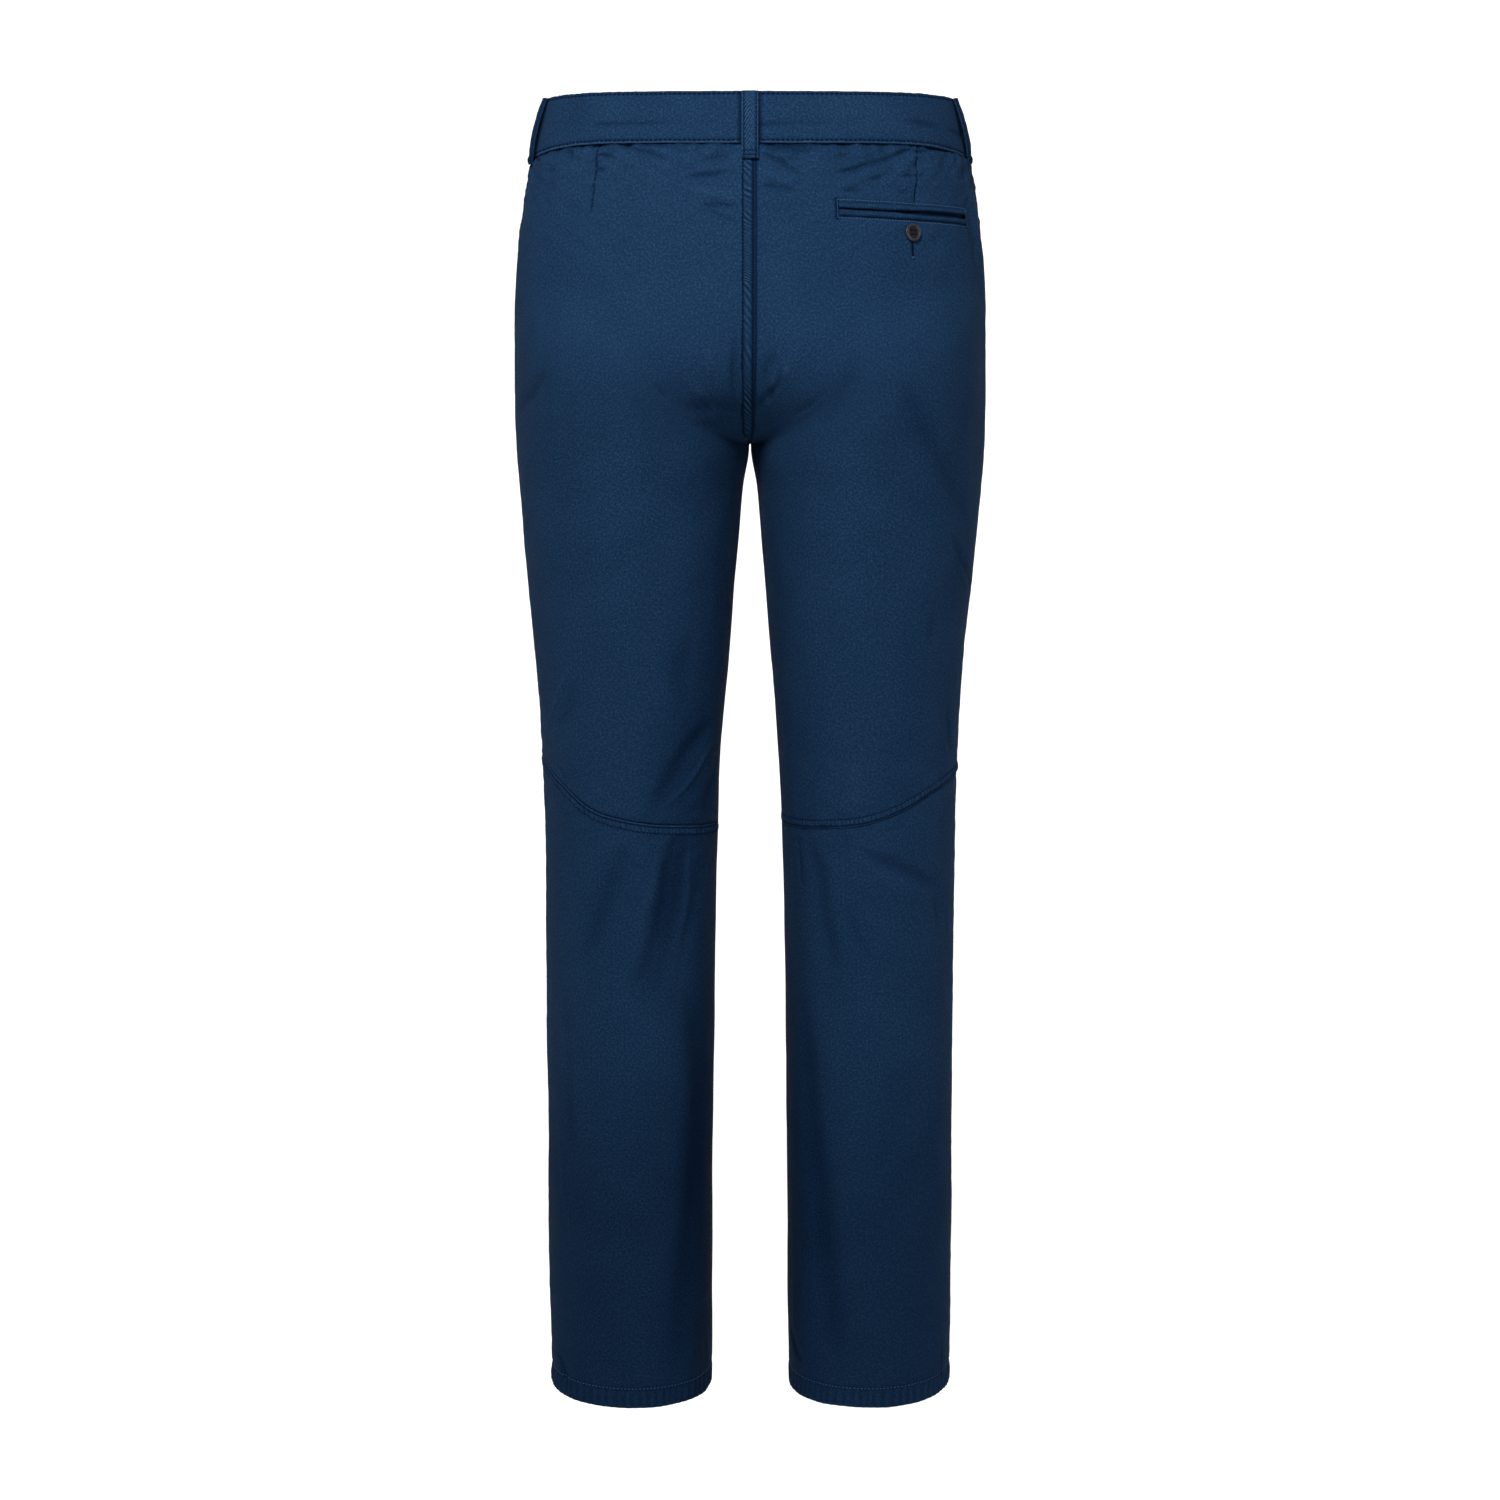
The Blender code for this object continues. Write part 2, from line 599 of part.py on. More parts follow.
def add_welt(name, above):
    """One lip of the back pocket, above or below its mouth."""
    start = math.radians(POCKET["angle_in"])
    end = math.radians(POCKET["angle_out"])
    grid = column_angles(1, -1, POCKET["level_in"])
    middle = [turn for turn in grid if start + WELT_MARGIN < turn < end - WELT_MARGIN]
    turns = np.array([start] + middle + [end])
    part = (turns - start) / (end - start)
    mouth = POCKET["level_in"] + (POCKET["level_out"] - POCKET["level_in"]) * part
    near = POCKET_SLIT / 2 * above
    far = (POCKET_SLIT / 2 + POCKET_WELT) * above
    rows = np.array([mouth + near, mouth + (near + far) / 2, mouth + far])
    angles = np.array([turns] * 3)
    plump = np.array([[WELT_WALL], [WELT_WALL * WELT_PLUMP], [WELT_WALL]]) + GAP
    face = surface(1, angles, rows, plump)
    back = surface(1, angles, rows, GAP * np.ones_like(angles))
    return loft_wall(name, face, back, "welt_cloth")


def button_mesh(name):
    """A dished disc with a rounded rim, turned round Z, with four holes cut through."""
    mesh = bmesh.new()
    points = []
    for out, up in BUTTON_PROFILE:
        points.append(mesh.verts.new((out * BUTTON_RADIUS, 0.0, up * BUTTON_THICKNESS)))
    edges = [mesh.edges.new(pair) for pair in zip(points, points[1:])]
    bmesh.ops.spin(mesh, geom=points + edges, cent=(0, 0, 0), axis=(0, 0, 1),
                   angle=math.tau, steps=24, use_merge=True)
    bmesh.ops.remove_doubles(mesh, verts=mesh.verts, dist=0.00001)
    bmesh.ops.recalc_face_normals(mesh, faces=mesh.faces)
    data = bpy.data.meshes.new(name)
    mesh.to_mesh(data)
    mesh.free()
    return data


def add_hole_cutter(name, matrix):
    """Four short rods in one mesh, standing through a button."""
    mesh = bmesh.new()
    for x in (-BUTTON_HOLE_PITCH, BUTTON_HOLE_PITCH):
        for y in (-BUTTON_HOLE_PITCH, BUTTON_HOLE_PITCH):
            at = Matrix.Translation((x, y, BUTTON_THICKNESS / 2))
            bmesh.ops.create_cone(mesh, cap_ends=True, segments=10, radius1=BUTTON_HOLE,
                                  radius2=BUTTON_HOLE, depth=BUTTON_THICKNESS * 3, matrix=at)
    data = bpy.data.meshes.new(name)
    mesh.to_mesh(data)
    mesh.free()
    cutter = bpy.data.objects.new(name, data)
    cutter.matrix_world = matrix
    cutter.hide_render = True
    cutter.display_type = "WIRE"
    bpy.data.collections["cutters"].objects.link(cutter)
    return cutter


def add_button(name, side, angle, level, clearance):
    """A four-hole button lying on the cloth, a gap clear of it."""
    turn = math.radians(angle)
    away = Vector(normal(side, turn, level))
    seat = Vector(surface(side, turn, level, clearance + GAP))
    across = Vector((0, 0, 1)).cross(away).normalized()
    up = away.cross(across)
    matrix = Matrix.Translation(seat) @ Matrix((across, up, away)).transposed().to_4x4()
    item = add_object(name, button_mesh(name), "button_horn")
    item.matrix_world = matrix
    cut = item.modifiers.new("holes", "BOOLEAN")
    cut.operation = "DIFFERENCE"
    cut.object = add_hole_cutter(name + "_holes", matrix)
    return item


def main():
    for item in list(bpy.data.objects):
        bpy.data.objects.remove(item, do_unlink=True)
    for name in (COLLECTION_NAME, "cutters"):
        bpy.context.scene.collection.children.link(bpy.data.collections.new(name))
    backs = {}
    fronts = {}
    for side, word in ((-1, "left"), (1, "right")):
        backs[word] = add_back("back_" + word, side)
        add_calf("calf_" + word, side)
        fronts[word] = add_front("front_" + word, side)
    add_seam_strip("seat_fell", -1, backs["left"], backs["right"], FELL_END)
    add_seam_strip("fly_edge", 1, fronts["left"], fronts["right"], FLY_END)
    add_waistband()
    for row in LOOPS:
        add_belt_loop(**dict(zip(LOOP_COLUMNS, row)))
    add_welt("pocket_welt_upper", 1)
    add_welt("pocket_welt_lower", -1)
    for name, place in BUTTONS.items():
        add_button(name, **place)


main()
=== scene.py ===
# Hiking trousers from behind: cloth panels, felled seams, stitches, loops, pocket and buttons.
# Metres, in the frame's own axes: +Z up, the back to -Y, the wearer's right to +X.
# A place on the cloth is a side (1 right, -1 left), an angle round the half-garment
# (0 side seam, -pi back seam or inseam, pi front seam or inseam) and a level, in metres.
import math

import bmesh
import bpy
import numpy as np
from mathutils import Matrix, Vector, noise


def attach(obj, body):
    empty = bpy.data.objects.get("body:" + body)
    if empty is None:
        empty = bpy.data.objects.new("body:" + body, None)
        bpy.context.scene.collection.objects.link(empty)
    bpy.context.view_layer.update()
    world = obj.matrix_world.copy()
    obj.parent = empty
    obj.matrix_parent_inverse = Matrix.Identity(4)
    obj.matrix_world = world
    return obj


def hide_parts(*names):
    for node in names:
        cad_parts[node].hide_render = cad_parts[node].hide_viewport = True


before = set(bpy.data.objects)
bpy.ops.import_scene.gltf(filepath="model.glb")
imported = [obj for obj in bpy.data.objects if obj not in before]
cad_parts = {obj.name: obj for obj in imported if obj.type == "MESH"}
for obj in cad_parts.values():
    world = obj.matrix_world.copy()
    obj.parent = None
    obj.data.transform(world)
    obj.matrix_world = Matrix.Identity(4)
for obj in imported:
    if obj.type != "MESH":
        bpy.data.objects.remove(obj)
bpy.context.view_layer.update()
pi = math.pi


def link(item):
    bpy.context.scene.collection.objects.link(item)
    return item


def meshFrom(bm, name):
    mesh = bpy.data.meshes.new(name)
    bm.to_mesh(mesh)
    bm.free()
    return mesh


shot = {"place": (0, -2.6, -0.082), "down": 9.8, "lens": 76.56}
camera = link(bpy.data.objects.new("camera", bpy.data.cameras.new("camera")))
camera.location = shot["place"]
camera.rotation_euler = (math.radians(90 - shot["down"]), 0, 0)
camera.data.lens = shot["lens"]
bpy.context.scene.camera = camera
print("camera set")


form = {
    "halfGap": 0.00015, "hem": -1.071, "hemSlant": 0.0012, "riseTop": -0.145,
    "crotch": -0.2765, "cleftSoft": 0.13, "cleftFade": 0.08, "waistSeam": -0.0395,
    "sideDrop": 0.0130, "frontDrop": 0.0155, "sideDip": 0.0040, "frontDip": 0.0100,
    "fullDepthAt": [math.radians(90 + 5 * i) for i in range(19)],
    "levelStep": 0.0005, "angleStep": 0.02,
}
sectionNames = ("level", "outer", "inner", "back", "front", "full")
sections = (
    (0.000, 0.1632, 0.0000, 0.100, 0.104, 0.05),
    (-0.045, 0.1742, 0.0000, 0.112, 0.110, 0.05),
    (-0.090, 0.1822, 0.0000, 0.121, 0.111, 0.05),
    (-0.145, 0.1876, 0.0000, 0.129, 0.110, 0.06),
    (-0.200, 0.1892, 0.0000, 0.133, 0.107, 0.07),
    (-0.245, 0.1896, 0.0000, 0.128, 0.102, 0.07),
    (-0.279, 0.1889, 0.0000, 0.120, 0.097, 0.06),
    (-0.310, 0.1871, 0.0050, 0.114, 0.095, 0.05),
    (-0.360, 0.1832, 0.0097, 0.108, 0.091, 0.05),
    (-0.450, 0.1753, 0.0171, 0.099, 0.084, 0.04),
    (-0.540, 0.1709, 0.0243, 0.092, 0.078, 0.04),
    (-0.620, 0.1692, 0.0271, 0.088, 0.073, 0.04),
    (-0.720, 0.1692, 0.0289, 0.086, 0.069, 0.03),
    (-0.850, 0.1692, 0.0303, 0.085, 0.063, 0.03),
    (-0.980, 0.1696, 0.0312, 0.085, 0.058, 0.02),
    (-1.075, 0.1689, 0.0323, 0.085, 0.054, 0.02),
)
kneeNames = ("angle", "left", "right")
kneeSeam = (
    (-180, -0.5885, -0.5890), (-130, -0.5808, -0.5835), (-90, -0.5735, -0.5755),
    (-65, -0.5640, -0.5635), (-45, -0.5480, -0.5525), (-25, -0.5365, -0.5460),
    (0, -0.5310, -0.5450),
)


def readCurve(table, names, name, at):  # a smooth curve through the rows of a table
    rows = np.array(table, float)
    key = rows[:, 0]
    at = np.asarray(at, float)
    if key[0] > key[-1]:
        key, at = -key, -at
    values = rows[:, names.index(name)]
    slopes = np.gradient(values, key)
    slopes[values == 0] = 0
    at = np.clip(at, key[0], key[-1])
    i = np.clip(np.searchsorted(key, at) - 1, 0, len(key) - 2)
    span = key[i + 1] - key[i]
    t = (at - key[i]) / span
    start = (2 * t**3 - 3 * t**2 + 1) * values[i] + (t**3 - 2 * t**2 + t) * span * slopes[i]
    end = (3 * t**2 - 2 * t**3) * values[i + 1] + (t**3 - t**2) * span * slopes[i + 1]
    return start + end


def sectionAt(name, level):
    return readCurve(sections, sectionNames, name, level)


def ease(t):
    t = np.clip(t, 0, 1)
    return t * t * (3 - 2 * t)


def peak(away, width, power=2):  # 1 at nothing away, fading out past the width
    return np.exp(-((away / width) ** power))


def fading(away, width):  # the same with a sharp top
    return np.exp(-np.abs(away) / width)


def depthShare(angle, closed, full, soft):
    torso = np.sin(angle / 2) * (1 + full * np.cos(angle / 2) ** 2)
    sine = np.sin(angle)
    rounded = (np.sqrt(sine**2 + soft**2) - soft) / (np.sqrt(1 + soft**2) - soft)
    leg = np.sign(sine) * rounded * (1 + full * np.cos(angle) ** 2)
    return (1 - closed) * torso + closed * leg


def formPoint(side, angle, level):  # the torso's half-ring closes into a leg's ring
    angle, level = np.broadcast_arrays(np.asarray(angle, float), np.asarray(level, float))
    rise = form["riseTop"] - form["crotch"]
    u = np.clip((form["riseTop"] - level) / rise, 0, 1)
    closed = ease(u)
    curve = form["riseTop"] - rise * np.sqrt(np.clip(1 - (1 - closed) ** 2, 0, 1))
    inward = ((1 - np.cos(angle)) / 2) ** 3
    height = np.where((u > 0) & (u < 1), level + inward * (curve - level), level)
    outer = sectionAt("outer", height)
    inner = np.where(level >= form["crotch"], 0.0, sectionAt("inner", height))
    back, front, full = (sectionAt(name, height) for name in ("back", "front", "full"))
    torsoX = outer * np.cos(angle / 2) * (1 + full * np.sin(angle / 2) ** 2)
    ringX = (outer - inner) / 2 * np.cos(angle) * (1 + full * np.sin(angle) ** 2)
    legX = (outer + inner) / 2 + ringX
    x = (1 - closed) * torsoX + closed * legX
    soft = form["cleftSoft"] * (1 - ease((form["crotch"] - level) / form["cleftFade"]))
    share = depthShare(angle, closed, full, soft)
    furthest = np.zeros(share.shape)
    for turn in form["fullDepthAt"]:
        furthest = np.maximum(furthest, depthShare(turn, closed, full, soft))
    y = (front - back) / 2 + (front + back) / 2 * share / furthest
    return np.stack([side * (x + form["halfGap"]), y, height], axis=-1)


def unit(vectors):
    return vectors / np.linalg.norm(vectors, axis=-1, keepdims=True)


def formNormal(side, angle, level):  # outward; both panels share one along a centre seam
    angle, level = np.broadcast_arrays(np.asarray(angle, float), np.asarray(level, float))
    turnStep, levelStep = form["angleStep"], form["levelStep"]
    turn = np.clip(angle, 2 * turnStep - pi, pi - 2 * turnStep)
    around = formPoint(side, turn + turnStep, level) - formPoint(side, turn - turnStep, level)
    down = formPoint(side, turn, level - levelStep) - formPoint(side, turn, level + levelStep)
    out = unit(np.cross(down, around) * side)
    edge = np.abs(np.abs(angle) - pi) < 1e-6
    out[..., 0] = np.where(edge & (level > form["crotch"] + levelStep), 0, out[..., 0])
    out[..., 1] = np.where(edge & (level < form["crotch"] - levelStep), 0, out[..., 1])
    return unit(out)


def ringRadius(level):  # metres of cloth for a radian, near enough
    reach = sectionAt("outer", level) - sectionAt("inner", level)
    depth = (sectionAt("back", level) + sectionAt("front", level)) / 2
    return (reach / 2 + depth) / 2


def fromSeam(angle, level):  # metres of cloth from the centre seam or inseam
    return ringRadius(level) * (pi - np.abs(angle))


def waistLevel(angle):
    across = np.cos(angle / 2) ** 2
    side, front = form["sideDrop"], form["frontDrop"]
    ahead = front + (side - front) * across**4
    return form["waistSeam"] - np.where(angle < 0, side * across**4, ahead)


def bandTop(angle):
    across = np.cos(angle / 2) ** 2
    side, front = form["sideDip"], form["frontDip"]
    return -np.where(angle < 0, side * across**4, front + (side - front) * across)


def kneeLevel(side, angle):
    return readCurve(kneeSeam, kneeNames, "right" if side > 0 else "left", np.degrees(angle))


def hemLevel(angle):
    return form["hem"] + form["hemSlant"] * np.cos(angle)


# A crease follows a line of places. Its depth is negative in a trough.
creases = {  # for each side: width and depth in tenths of a millimetre, then (degrees, mm) places
    -1: (
        # drags under the waistband
        (20, -21, (-110, -39), (-124, -46), (-132, -49), (-139, -53)),
        (15, -14, (-124, -40), (-138, -42), (-151, -47)),
        (14, -14, (-96, -49), (-104, -49), (-110, -51)),
        (18, -20, (-98, -60), (-104, -60)),
        (26, -21, (-150, -66), (-156, -65), (-168, -63)),
        (18, -20, (-157, -87), (-168, -87), (-174, -89)),
        (20, -17, (-160, -88), (-166, -95), (-175, -101)),
        (26, -20, (-72, -42), (-78, -51)),
        (35, 11, (-152, -75), (-166, -79), (-174, -83)),
        (26, -11, (-156, -53), (-168, -51), (-174, -46)),
        # under the seat
        (17, 20, (-144, -188), (-152, -191), (-156, -194), (-164, -192)),
        (23, -25, (-136, -212), (-157, -198), (-174, -197)),
        (10, -16, (-128, -237), (-153, -215), (-166, -206), (-174, -202)),
        (35, -22, (-174, -165), (-172, -176), (-172, -188)),
        (40, -17, (-123, -204), (-126, -209)),
        (29, 11, (-162, -168), (-158, -179)),
        # thighs
        (48, -21, (-20, -248), (-40, -234), (-56, -215)),
        (16, 9, (-25, -297), (-34, -283), (-45, -263)),
        (20, 13, (-16, -341), (-32, -324), (-40, -316)),
        # above the knee
        (18, 13, (-162, -507), (-145, -525), (-132, -544), (-119, -558), (-111, -565)),
        (90, -30, (-148, -499), (-130, -518), (-118, -541), (-106, -565)),
        (80, -18, (-160, -540), (-150, -564), (-147, -576)),
        (110, -15, (-126, -428), (-120, -450), (-124, -476)),
        (20, 15, (-53, -451), (-42, -477), (-30, -502)),
        (80, -12, (-59, -460), (-51, -485), (-40, -510)),
        (16, -10, (-40, -532), (-48, -546)),
        # calf
        (130, -30, (-128, -591), (-122, -640), (-112, -693), (-102, -720)),
        (60, -22, (-121, -591), (-116, -616), (-114, -640), (-108, -669), (-102, -693),
         (-94, -715)),
        (50, -6, (-143, -594), (-143, -629), (-134, -664), (-126, -700), (-121, -733)),
        (16, 9, (-152, -604), (-152, -635)),
        (92, -20, (-90, -594), (-75, -639), (-62, -691)),
        (23, -8, (-83, -596), (-98, -614)),
        (46, 14, (-110, -598), (-106, -627), (-98, -659)),
        (37, 12, (-133, -600), (-132, -643), (-123, -683)),
        # lower leg
        (130, -28, (-136, -728), (-146, -798), (-142, -857), (-136, -924), (-128, -982),
         (-124, -1037)),
        (24, 9, (-164, -981), (-148, -989), (-137, -995)),
        (48, -9, (-44, -728), (-46, -795), (-49, -854)),
        (24, 8, (-34, -832), (-39, -891), (-46, -923)),
        (30, -26, (-29, -1037), (-36, -1048), (-40, -1061)),
        (40, -10, (-154, -1024), (-159, -1047)),
        # front: drags from the crotch, breaks at the knees; small breaks at the hips
        (120, 14, (-30, -60), (-34, -110)),
        (136, -28, (150, -250), (95, -205)),
        (110, -20, (158, -275), (110, -255)),
        (108, -16, (165, -225), (125, -165)),
        (136, -30, (70, -560), (120, -600)),
        (126, -18, (66, -600), (110, -640)),
        (180, -18, (60, -700), (100, -760)),
        (200, -14, (120, -680), (100, -880)),
    ),
    1: (
        # drags under the waistband
        (21, -24, (-176, -47), (-171, -50), (-166, -53), (-161, -58), (-154, -65)),
        (23, -20, (-174, -72), (-166, -74), (-158, -76)),
        (21, -24, (-138, -62), (-128, -60), (-121, -56), (-113, -54), (-103, -49), (-91, -44)),
        (22, -11, (-146, -46), (-138, -50), (-130, -48)),
        (18, -14, (-135, -76), (-125, -76)),
        (15, -17, (-100, -65), (-83, -64)),
        (18, -14, (-96, -45), (-76, -46)),
        (18, -11, (-120, -68), (-111, -65)),
        (18, -11, (-104, -77), (-97, -77)),
        (35, 11, (-175, -60), (-168, -65), (-161, -71)),
        (18, -11, (-83, -111), (-79, -121)),
        (18, -11, (-160, -43), (-156, -49)),
        # under the seat
        (20, -36, (-176, -192), (-170, -188), (-166, -184), (-163, -180)),
        (17, 22, (-176, -188), (-171, -184), (-166, -180), (-156, -172)),
        (29, -23, (-174, -180), (-171, -175), (-168, -171)),
        (23, -17, (-153, -204), (-140, -207), (-136, -200)),
        (110, -7, (-128, -178), (-122, -198), (-119, -220), (-115, -246)),
        # thighs
        (18, 16, (-48, -348), (-41, -365), (-24, -391)),
        (40, -18, (-44, -347), (-34, -366), (-11, -393)),
        (72, -17, (-85, -220), (-63, -267), (-49, -300), (-34, -334)),
        (40, -13, (-56, -407), (-54, -430)),
        # calf
        (75, -20, (-136, -590), (-126, -617), (-122, -658), (-114, -705)),
        (53, -24, (-96, -599), (-72, -613), (-42, -633)),
        (70, 9, (-92, -612), (-72, -626), (-48, -641)),
        (35, -14, (-106, -649), (-100, -668), (-91, -686)),
        (26, -12, (-145, -594), (-143, -633)),
        (18, 8, (-155, -607), (-154, -640)),
        (18, 14, (-53, -594), (-36, -629), (-25, -676)),
        (35, -14, (-44, -640), (-38, -670)),
        # beside the knee
        (16, 10, (-48, -492), (-36, -523)),
        (32, -16, (-36, -484), (-31, -522)),
        (20, -8, (-108, -583), (-104, -604)),
        (64, 10, (-100, -524), (-101, -563)),
        # lower leg
        (130, -28, (-140, -729), (-137, -813), (-128, -879), (-125, -938), (-119, -980),
         (-113, -1033)),
        (26, -22, (-164, -1021), (-155, -1035), (-145, -1043)),
        (20, 9, (-153, -1018), (-142, -1035)),
        (24, -11, (-30, -1027), (-28, -1058)),
        (48, 7, (-158, -975), (-158, -1015)),
        # front: drags from the crotch, breaks at the knees; small breaks at the hips
        (120, 15, (-30, -70), (-24, -150)),
        (100, -10, (-44, -72), (-38, -135)),
        (136, -28, (150, -250), (95, -200)),
        (110, -20, (158, -275), (108, -250)),
        (108, -16, (165, -225), (122, -160)),
        (136, -30, (70, -570), (125, -615)),
        (126, -18, (62, -610), (105, -655)),
        (180, -18, (60, -690), (105, -770)),
        (200, -14, (118, -700), (96, -900)),
    ),
}
dartNames = ("side", "angleTop", "angleTip", "top", "tip")
darts = ((-1, -97.5, -97.5, -0.0395, -0.0925), (1, -84.5, -93.5, -0.0395, -0.0860))
dartSize = {"width": 0.0012, "depth": 0.0016, "hollow": 0.010, "hollowDepth": 0.0006,
            "pucker": 0.0009, "reach": 0.0050}
pocket = {"angleIn": -138.0, "angleOut": -47.5, "levelIn": -0.0890, "levelOut": -0.0966,
          "welt": 0.0050, "slit": 0.0012, "plump": 0.0006, "row": 0.0070}
drape = (  # metres across a swell, metres along it, depth
    (0.075, 0.160, 0.0013),
    (0.030, 0.060, 0.0006),
    (0.012, 0.020, 0.00016),
)


def segmentAway(across, level, ax, az, bx, bz):  # distance to a segment, place along it
    runX, runZ = bx - ax, bz - az
    length = math.hypot(runX, runZ)
    t = np.clip(((across - ax) * runX + (level - az) * runZ) / length**2, 0, 1)
    return np.hypot(across - ax - t * runX, level - az - t * runZ), t


def creaseRelief(side, angle, level):
    shape = np.broadcast(angle, level).shape
    across = ringRadius(level) * angle
    depth = np.zeros(shape)
    for width, size, *line in creases[side]:
        width, size = width / 1e4, size / 1e4
        path = [(float(ringRadius(z / 1000)) * math.radians(turn), z / 1000) for turn, z in line]
        steps = [math.dist(start, end) for start, end in zip(path, path[1:])]
        nearest, share, done = np.full(shape, 1.0), np.zeros(shape), 0.0
        for start, end, step in zip(path, path[1:], steps):
            away, t = segmentAway(across, level, *start, *end)
            nearer = away < nearest
            nearest = np.where(nearer, away, nearest)
            share = np.where(nearer, (done + t * step) / sum(steps), share)
            done += step
        fade = 1 - 0.75 * np.abs(2 * share - 1) ** 3
        depth += size * fade * peak(nearest, width * (0.5 + 0.5 * fade))
    return depth


def dartPlace(dart, part):
    turn = dart["angleTop"] + (dart["angleTip"] - dart["angleTop"]) * part
    return np.radians(turn), dart["top"] + (dart["tip"] - dart["top"]) * part


def dartRelief(side, angle, level):  # the relief, and the sewn line's own share of it
    depth = np.zeros(np.broadcast(angle, level).shape)
    sewn = np.zeros(depth.shape)
    for row in darts:
        dart = dict(zip(dartNames, row))
        if dart["side"] != side:
            continue
        part = np.clip((dart["top"] - level) / (dart["top"] - dart["tip"]), 0, 1.2)
        away = ringRadius(level) * (angle - dartPlace(dart, part)[0])
        fade = ease((level - dart["tip"]) / 0.012 + 0.3)
        line = peak(away, dartSize["width"]) * (1 + 0.15 * ripple(level, 0.0100, 31.0))
        hollow = peak(away, dartSize["hollow"])
        pucker = ripple(level, 0.0085, 8.0 + side) * fading(away, dartSize["reach"])
        depth -= fade * (line * dartSize["depth"] + hollow * dartSize["hollowDepth"]
                         - pucker * dartSize["pucker"])
        sewn += fade * line
    return depth, sewn


def pocketPlace(part):  # the angle and level of the mouth's line
    turn = pocket["angleIn"] + (pocket["angleOut"] - pocket["angleIn"]) * part
    return np.radians(turn), pocket["levelIn"] + (pocket["levelOut"] - pocket["levelIn"]) * part


def pocketAway(angle, level):  # height over the mouth's line, share along it
    start, end = math.radians(pocket["angleIn"]), math.radians(pocket["angleOut"])
    part = (angle - start) / (end - start)
    return level - pocketPlace(part)[1], part


def alongPocket(part):  # 1 between the mouth's ends
    return ease(part * 25 + 0.5) * ease((1 - part) * 25 + 0.5)


def pocketRelief(side, angle, level):  # the panel sinks behind the mouth and dips round the welts
    if side < 0:
        return 0
    over, part = pocketAway(angle, level)
    mouth = peak(over, 0.0022) * 0.0016
    edge = peak(np.abs(over) - 0.0066, 0.0014) * 0.0005
    return -alongPocket(part) * (mouth + edge)


def swell(points, seed):  # slow uneven swells, the same wherever two panels meet
    flat = points.reshape(-1, 3)
    depth = np.zeros(len(flat))
    for i, (wide, tall, size) in enumerate(drape):
        scale = np.array([1 / wide, 1 / wide, 1 / tall])
        for j, spot in enumerate(flat * scale + seed + 7 * i):
            depth[j] += noise.noise(Vector(spot)) * size
    return depth.reshape(points.shape[:-1])


crumples = (  # lean in degrees, metres along a crease, metres across it, depth
    (28, 0.045, 0.0090, 0.0018),
    (-24, 0.036, 0.0075, 0.0016),
    (6, 0.022, 0.0045, 0.0008),
)


def nearLegSeam(toCentre, level):  # 1 at an inseam, fading out above the crotch
    return (1 - ease(toCentre / 0.014)) * ease((form["crotch"] + 0.045 - level) / 0.035)


def crumple(side, angle, level, base):  # small drags, deepest beside the waist seam and knees
    angle, level = np.broadcast_arrays(angle, level)
    fromCentre = side * fromSeam(angle, level)
    share = fading(waistLevel(angle) - level, 0.040) * ease((0.02 - level) / 0.03)
    share += 0.45 * peak(level + 0.215, 0.05) * fading(fromCentre, 0.05)
    share += 0.30 * fading(level - kneeLevel(side, angle), 0.030)
    share = share + 0.30 * np.exp(-(level - form["hem"]) / 0.020) + 0.10
    share *= 1 - nearLegSeam(np.abs(fromCentre), level)
    share *= ease(np.abs(base[..., 0]) / 0.014)
    depth = np.zeros(level.size)
    for i, (lean, long, short, size) in enumerate(crumples):
        c, s = math.cos(math.radians(lean)), math.sin(math.radians(lean))
        along = (fromCentre * c + level * s) / long
        across = (level * c - fromCentre * s) / short
        spots = np.stack([along, across, base[..., 1] * 9 + 5 * i], axis=-1).reshape(-1, 3)
        for j, spot in enumerate(spots):
            depth[j] += noise.noise(Vector(spot)) * size
    return depth.reshape(level.shape) * share


def ripple(along, period, seed):  # irregular ripples along a seam, from -1 to 1
    flat = np.asarray(along, float).ravel()
    made = [noise.noise(Vector((s / period, seed, 0.5))) for s in flat]
    return np.array(made).reshape(np.shape(along)) * 1.8


def clothPoint(side, angle, level, out=0.0):  # a point of the finished cloth's face
    base = formPoint(side, angle, level)
    relief = creaseRelief(side, angle, level) + dartRelief(side, angle, level)[0]
    relief = relief + pocketRelief(side, angle, level) + swell(base, 3.1)
    relief += crumple(side, angle, level, base)
    fromCentre = fromSeam(angle, level)
    full = peak(fromCentre - 0.036, 0.026) * peak(level + 0.258, 0.030)
    relief += 0.0026 * full * ease((np.abs(base[..., 0]) - 0.004) / 0.026) * (angle < 0)
    return base + formNormal(side, angle, level) * (relief + out)[..., None]


class Value:  # a shader socket that takes part in Python sums
    def __init__(self, paint, socket):
        self.paint = paint
        self.socket = socket

    def maths(self, operation, first, second=0.0):
        return self.paint.node("ShaderNodeMath", {"operation": operation}, {0: first, 1: second})

    def __add__(self, other):
        return self.maths("ADD", self, other)

    def __radd__(self, other):
        return self.maths("ADD", other, self)

    def __sub__(self, other):
        return self.maths("SUBTRACT", self, other)

    def __rsub__(self, other):
        return self.maths("SUBTRACT", other, self)

    def __mul__(self, other):
        return self.maths("MULTIPLY", self, other)

    def __rmul__(self, other):
        return self.maths("MULTIPLY", other, self)

    def sine(self):
        return self.maths("SINE", self)

    def clamped(self):
        return self.maths("MAXIMUM", self.maths("MINIMUM", self, 1.0), 0.0)


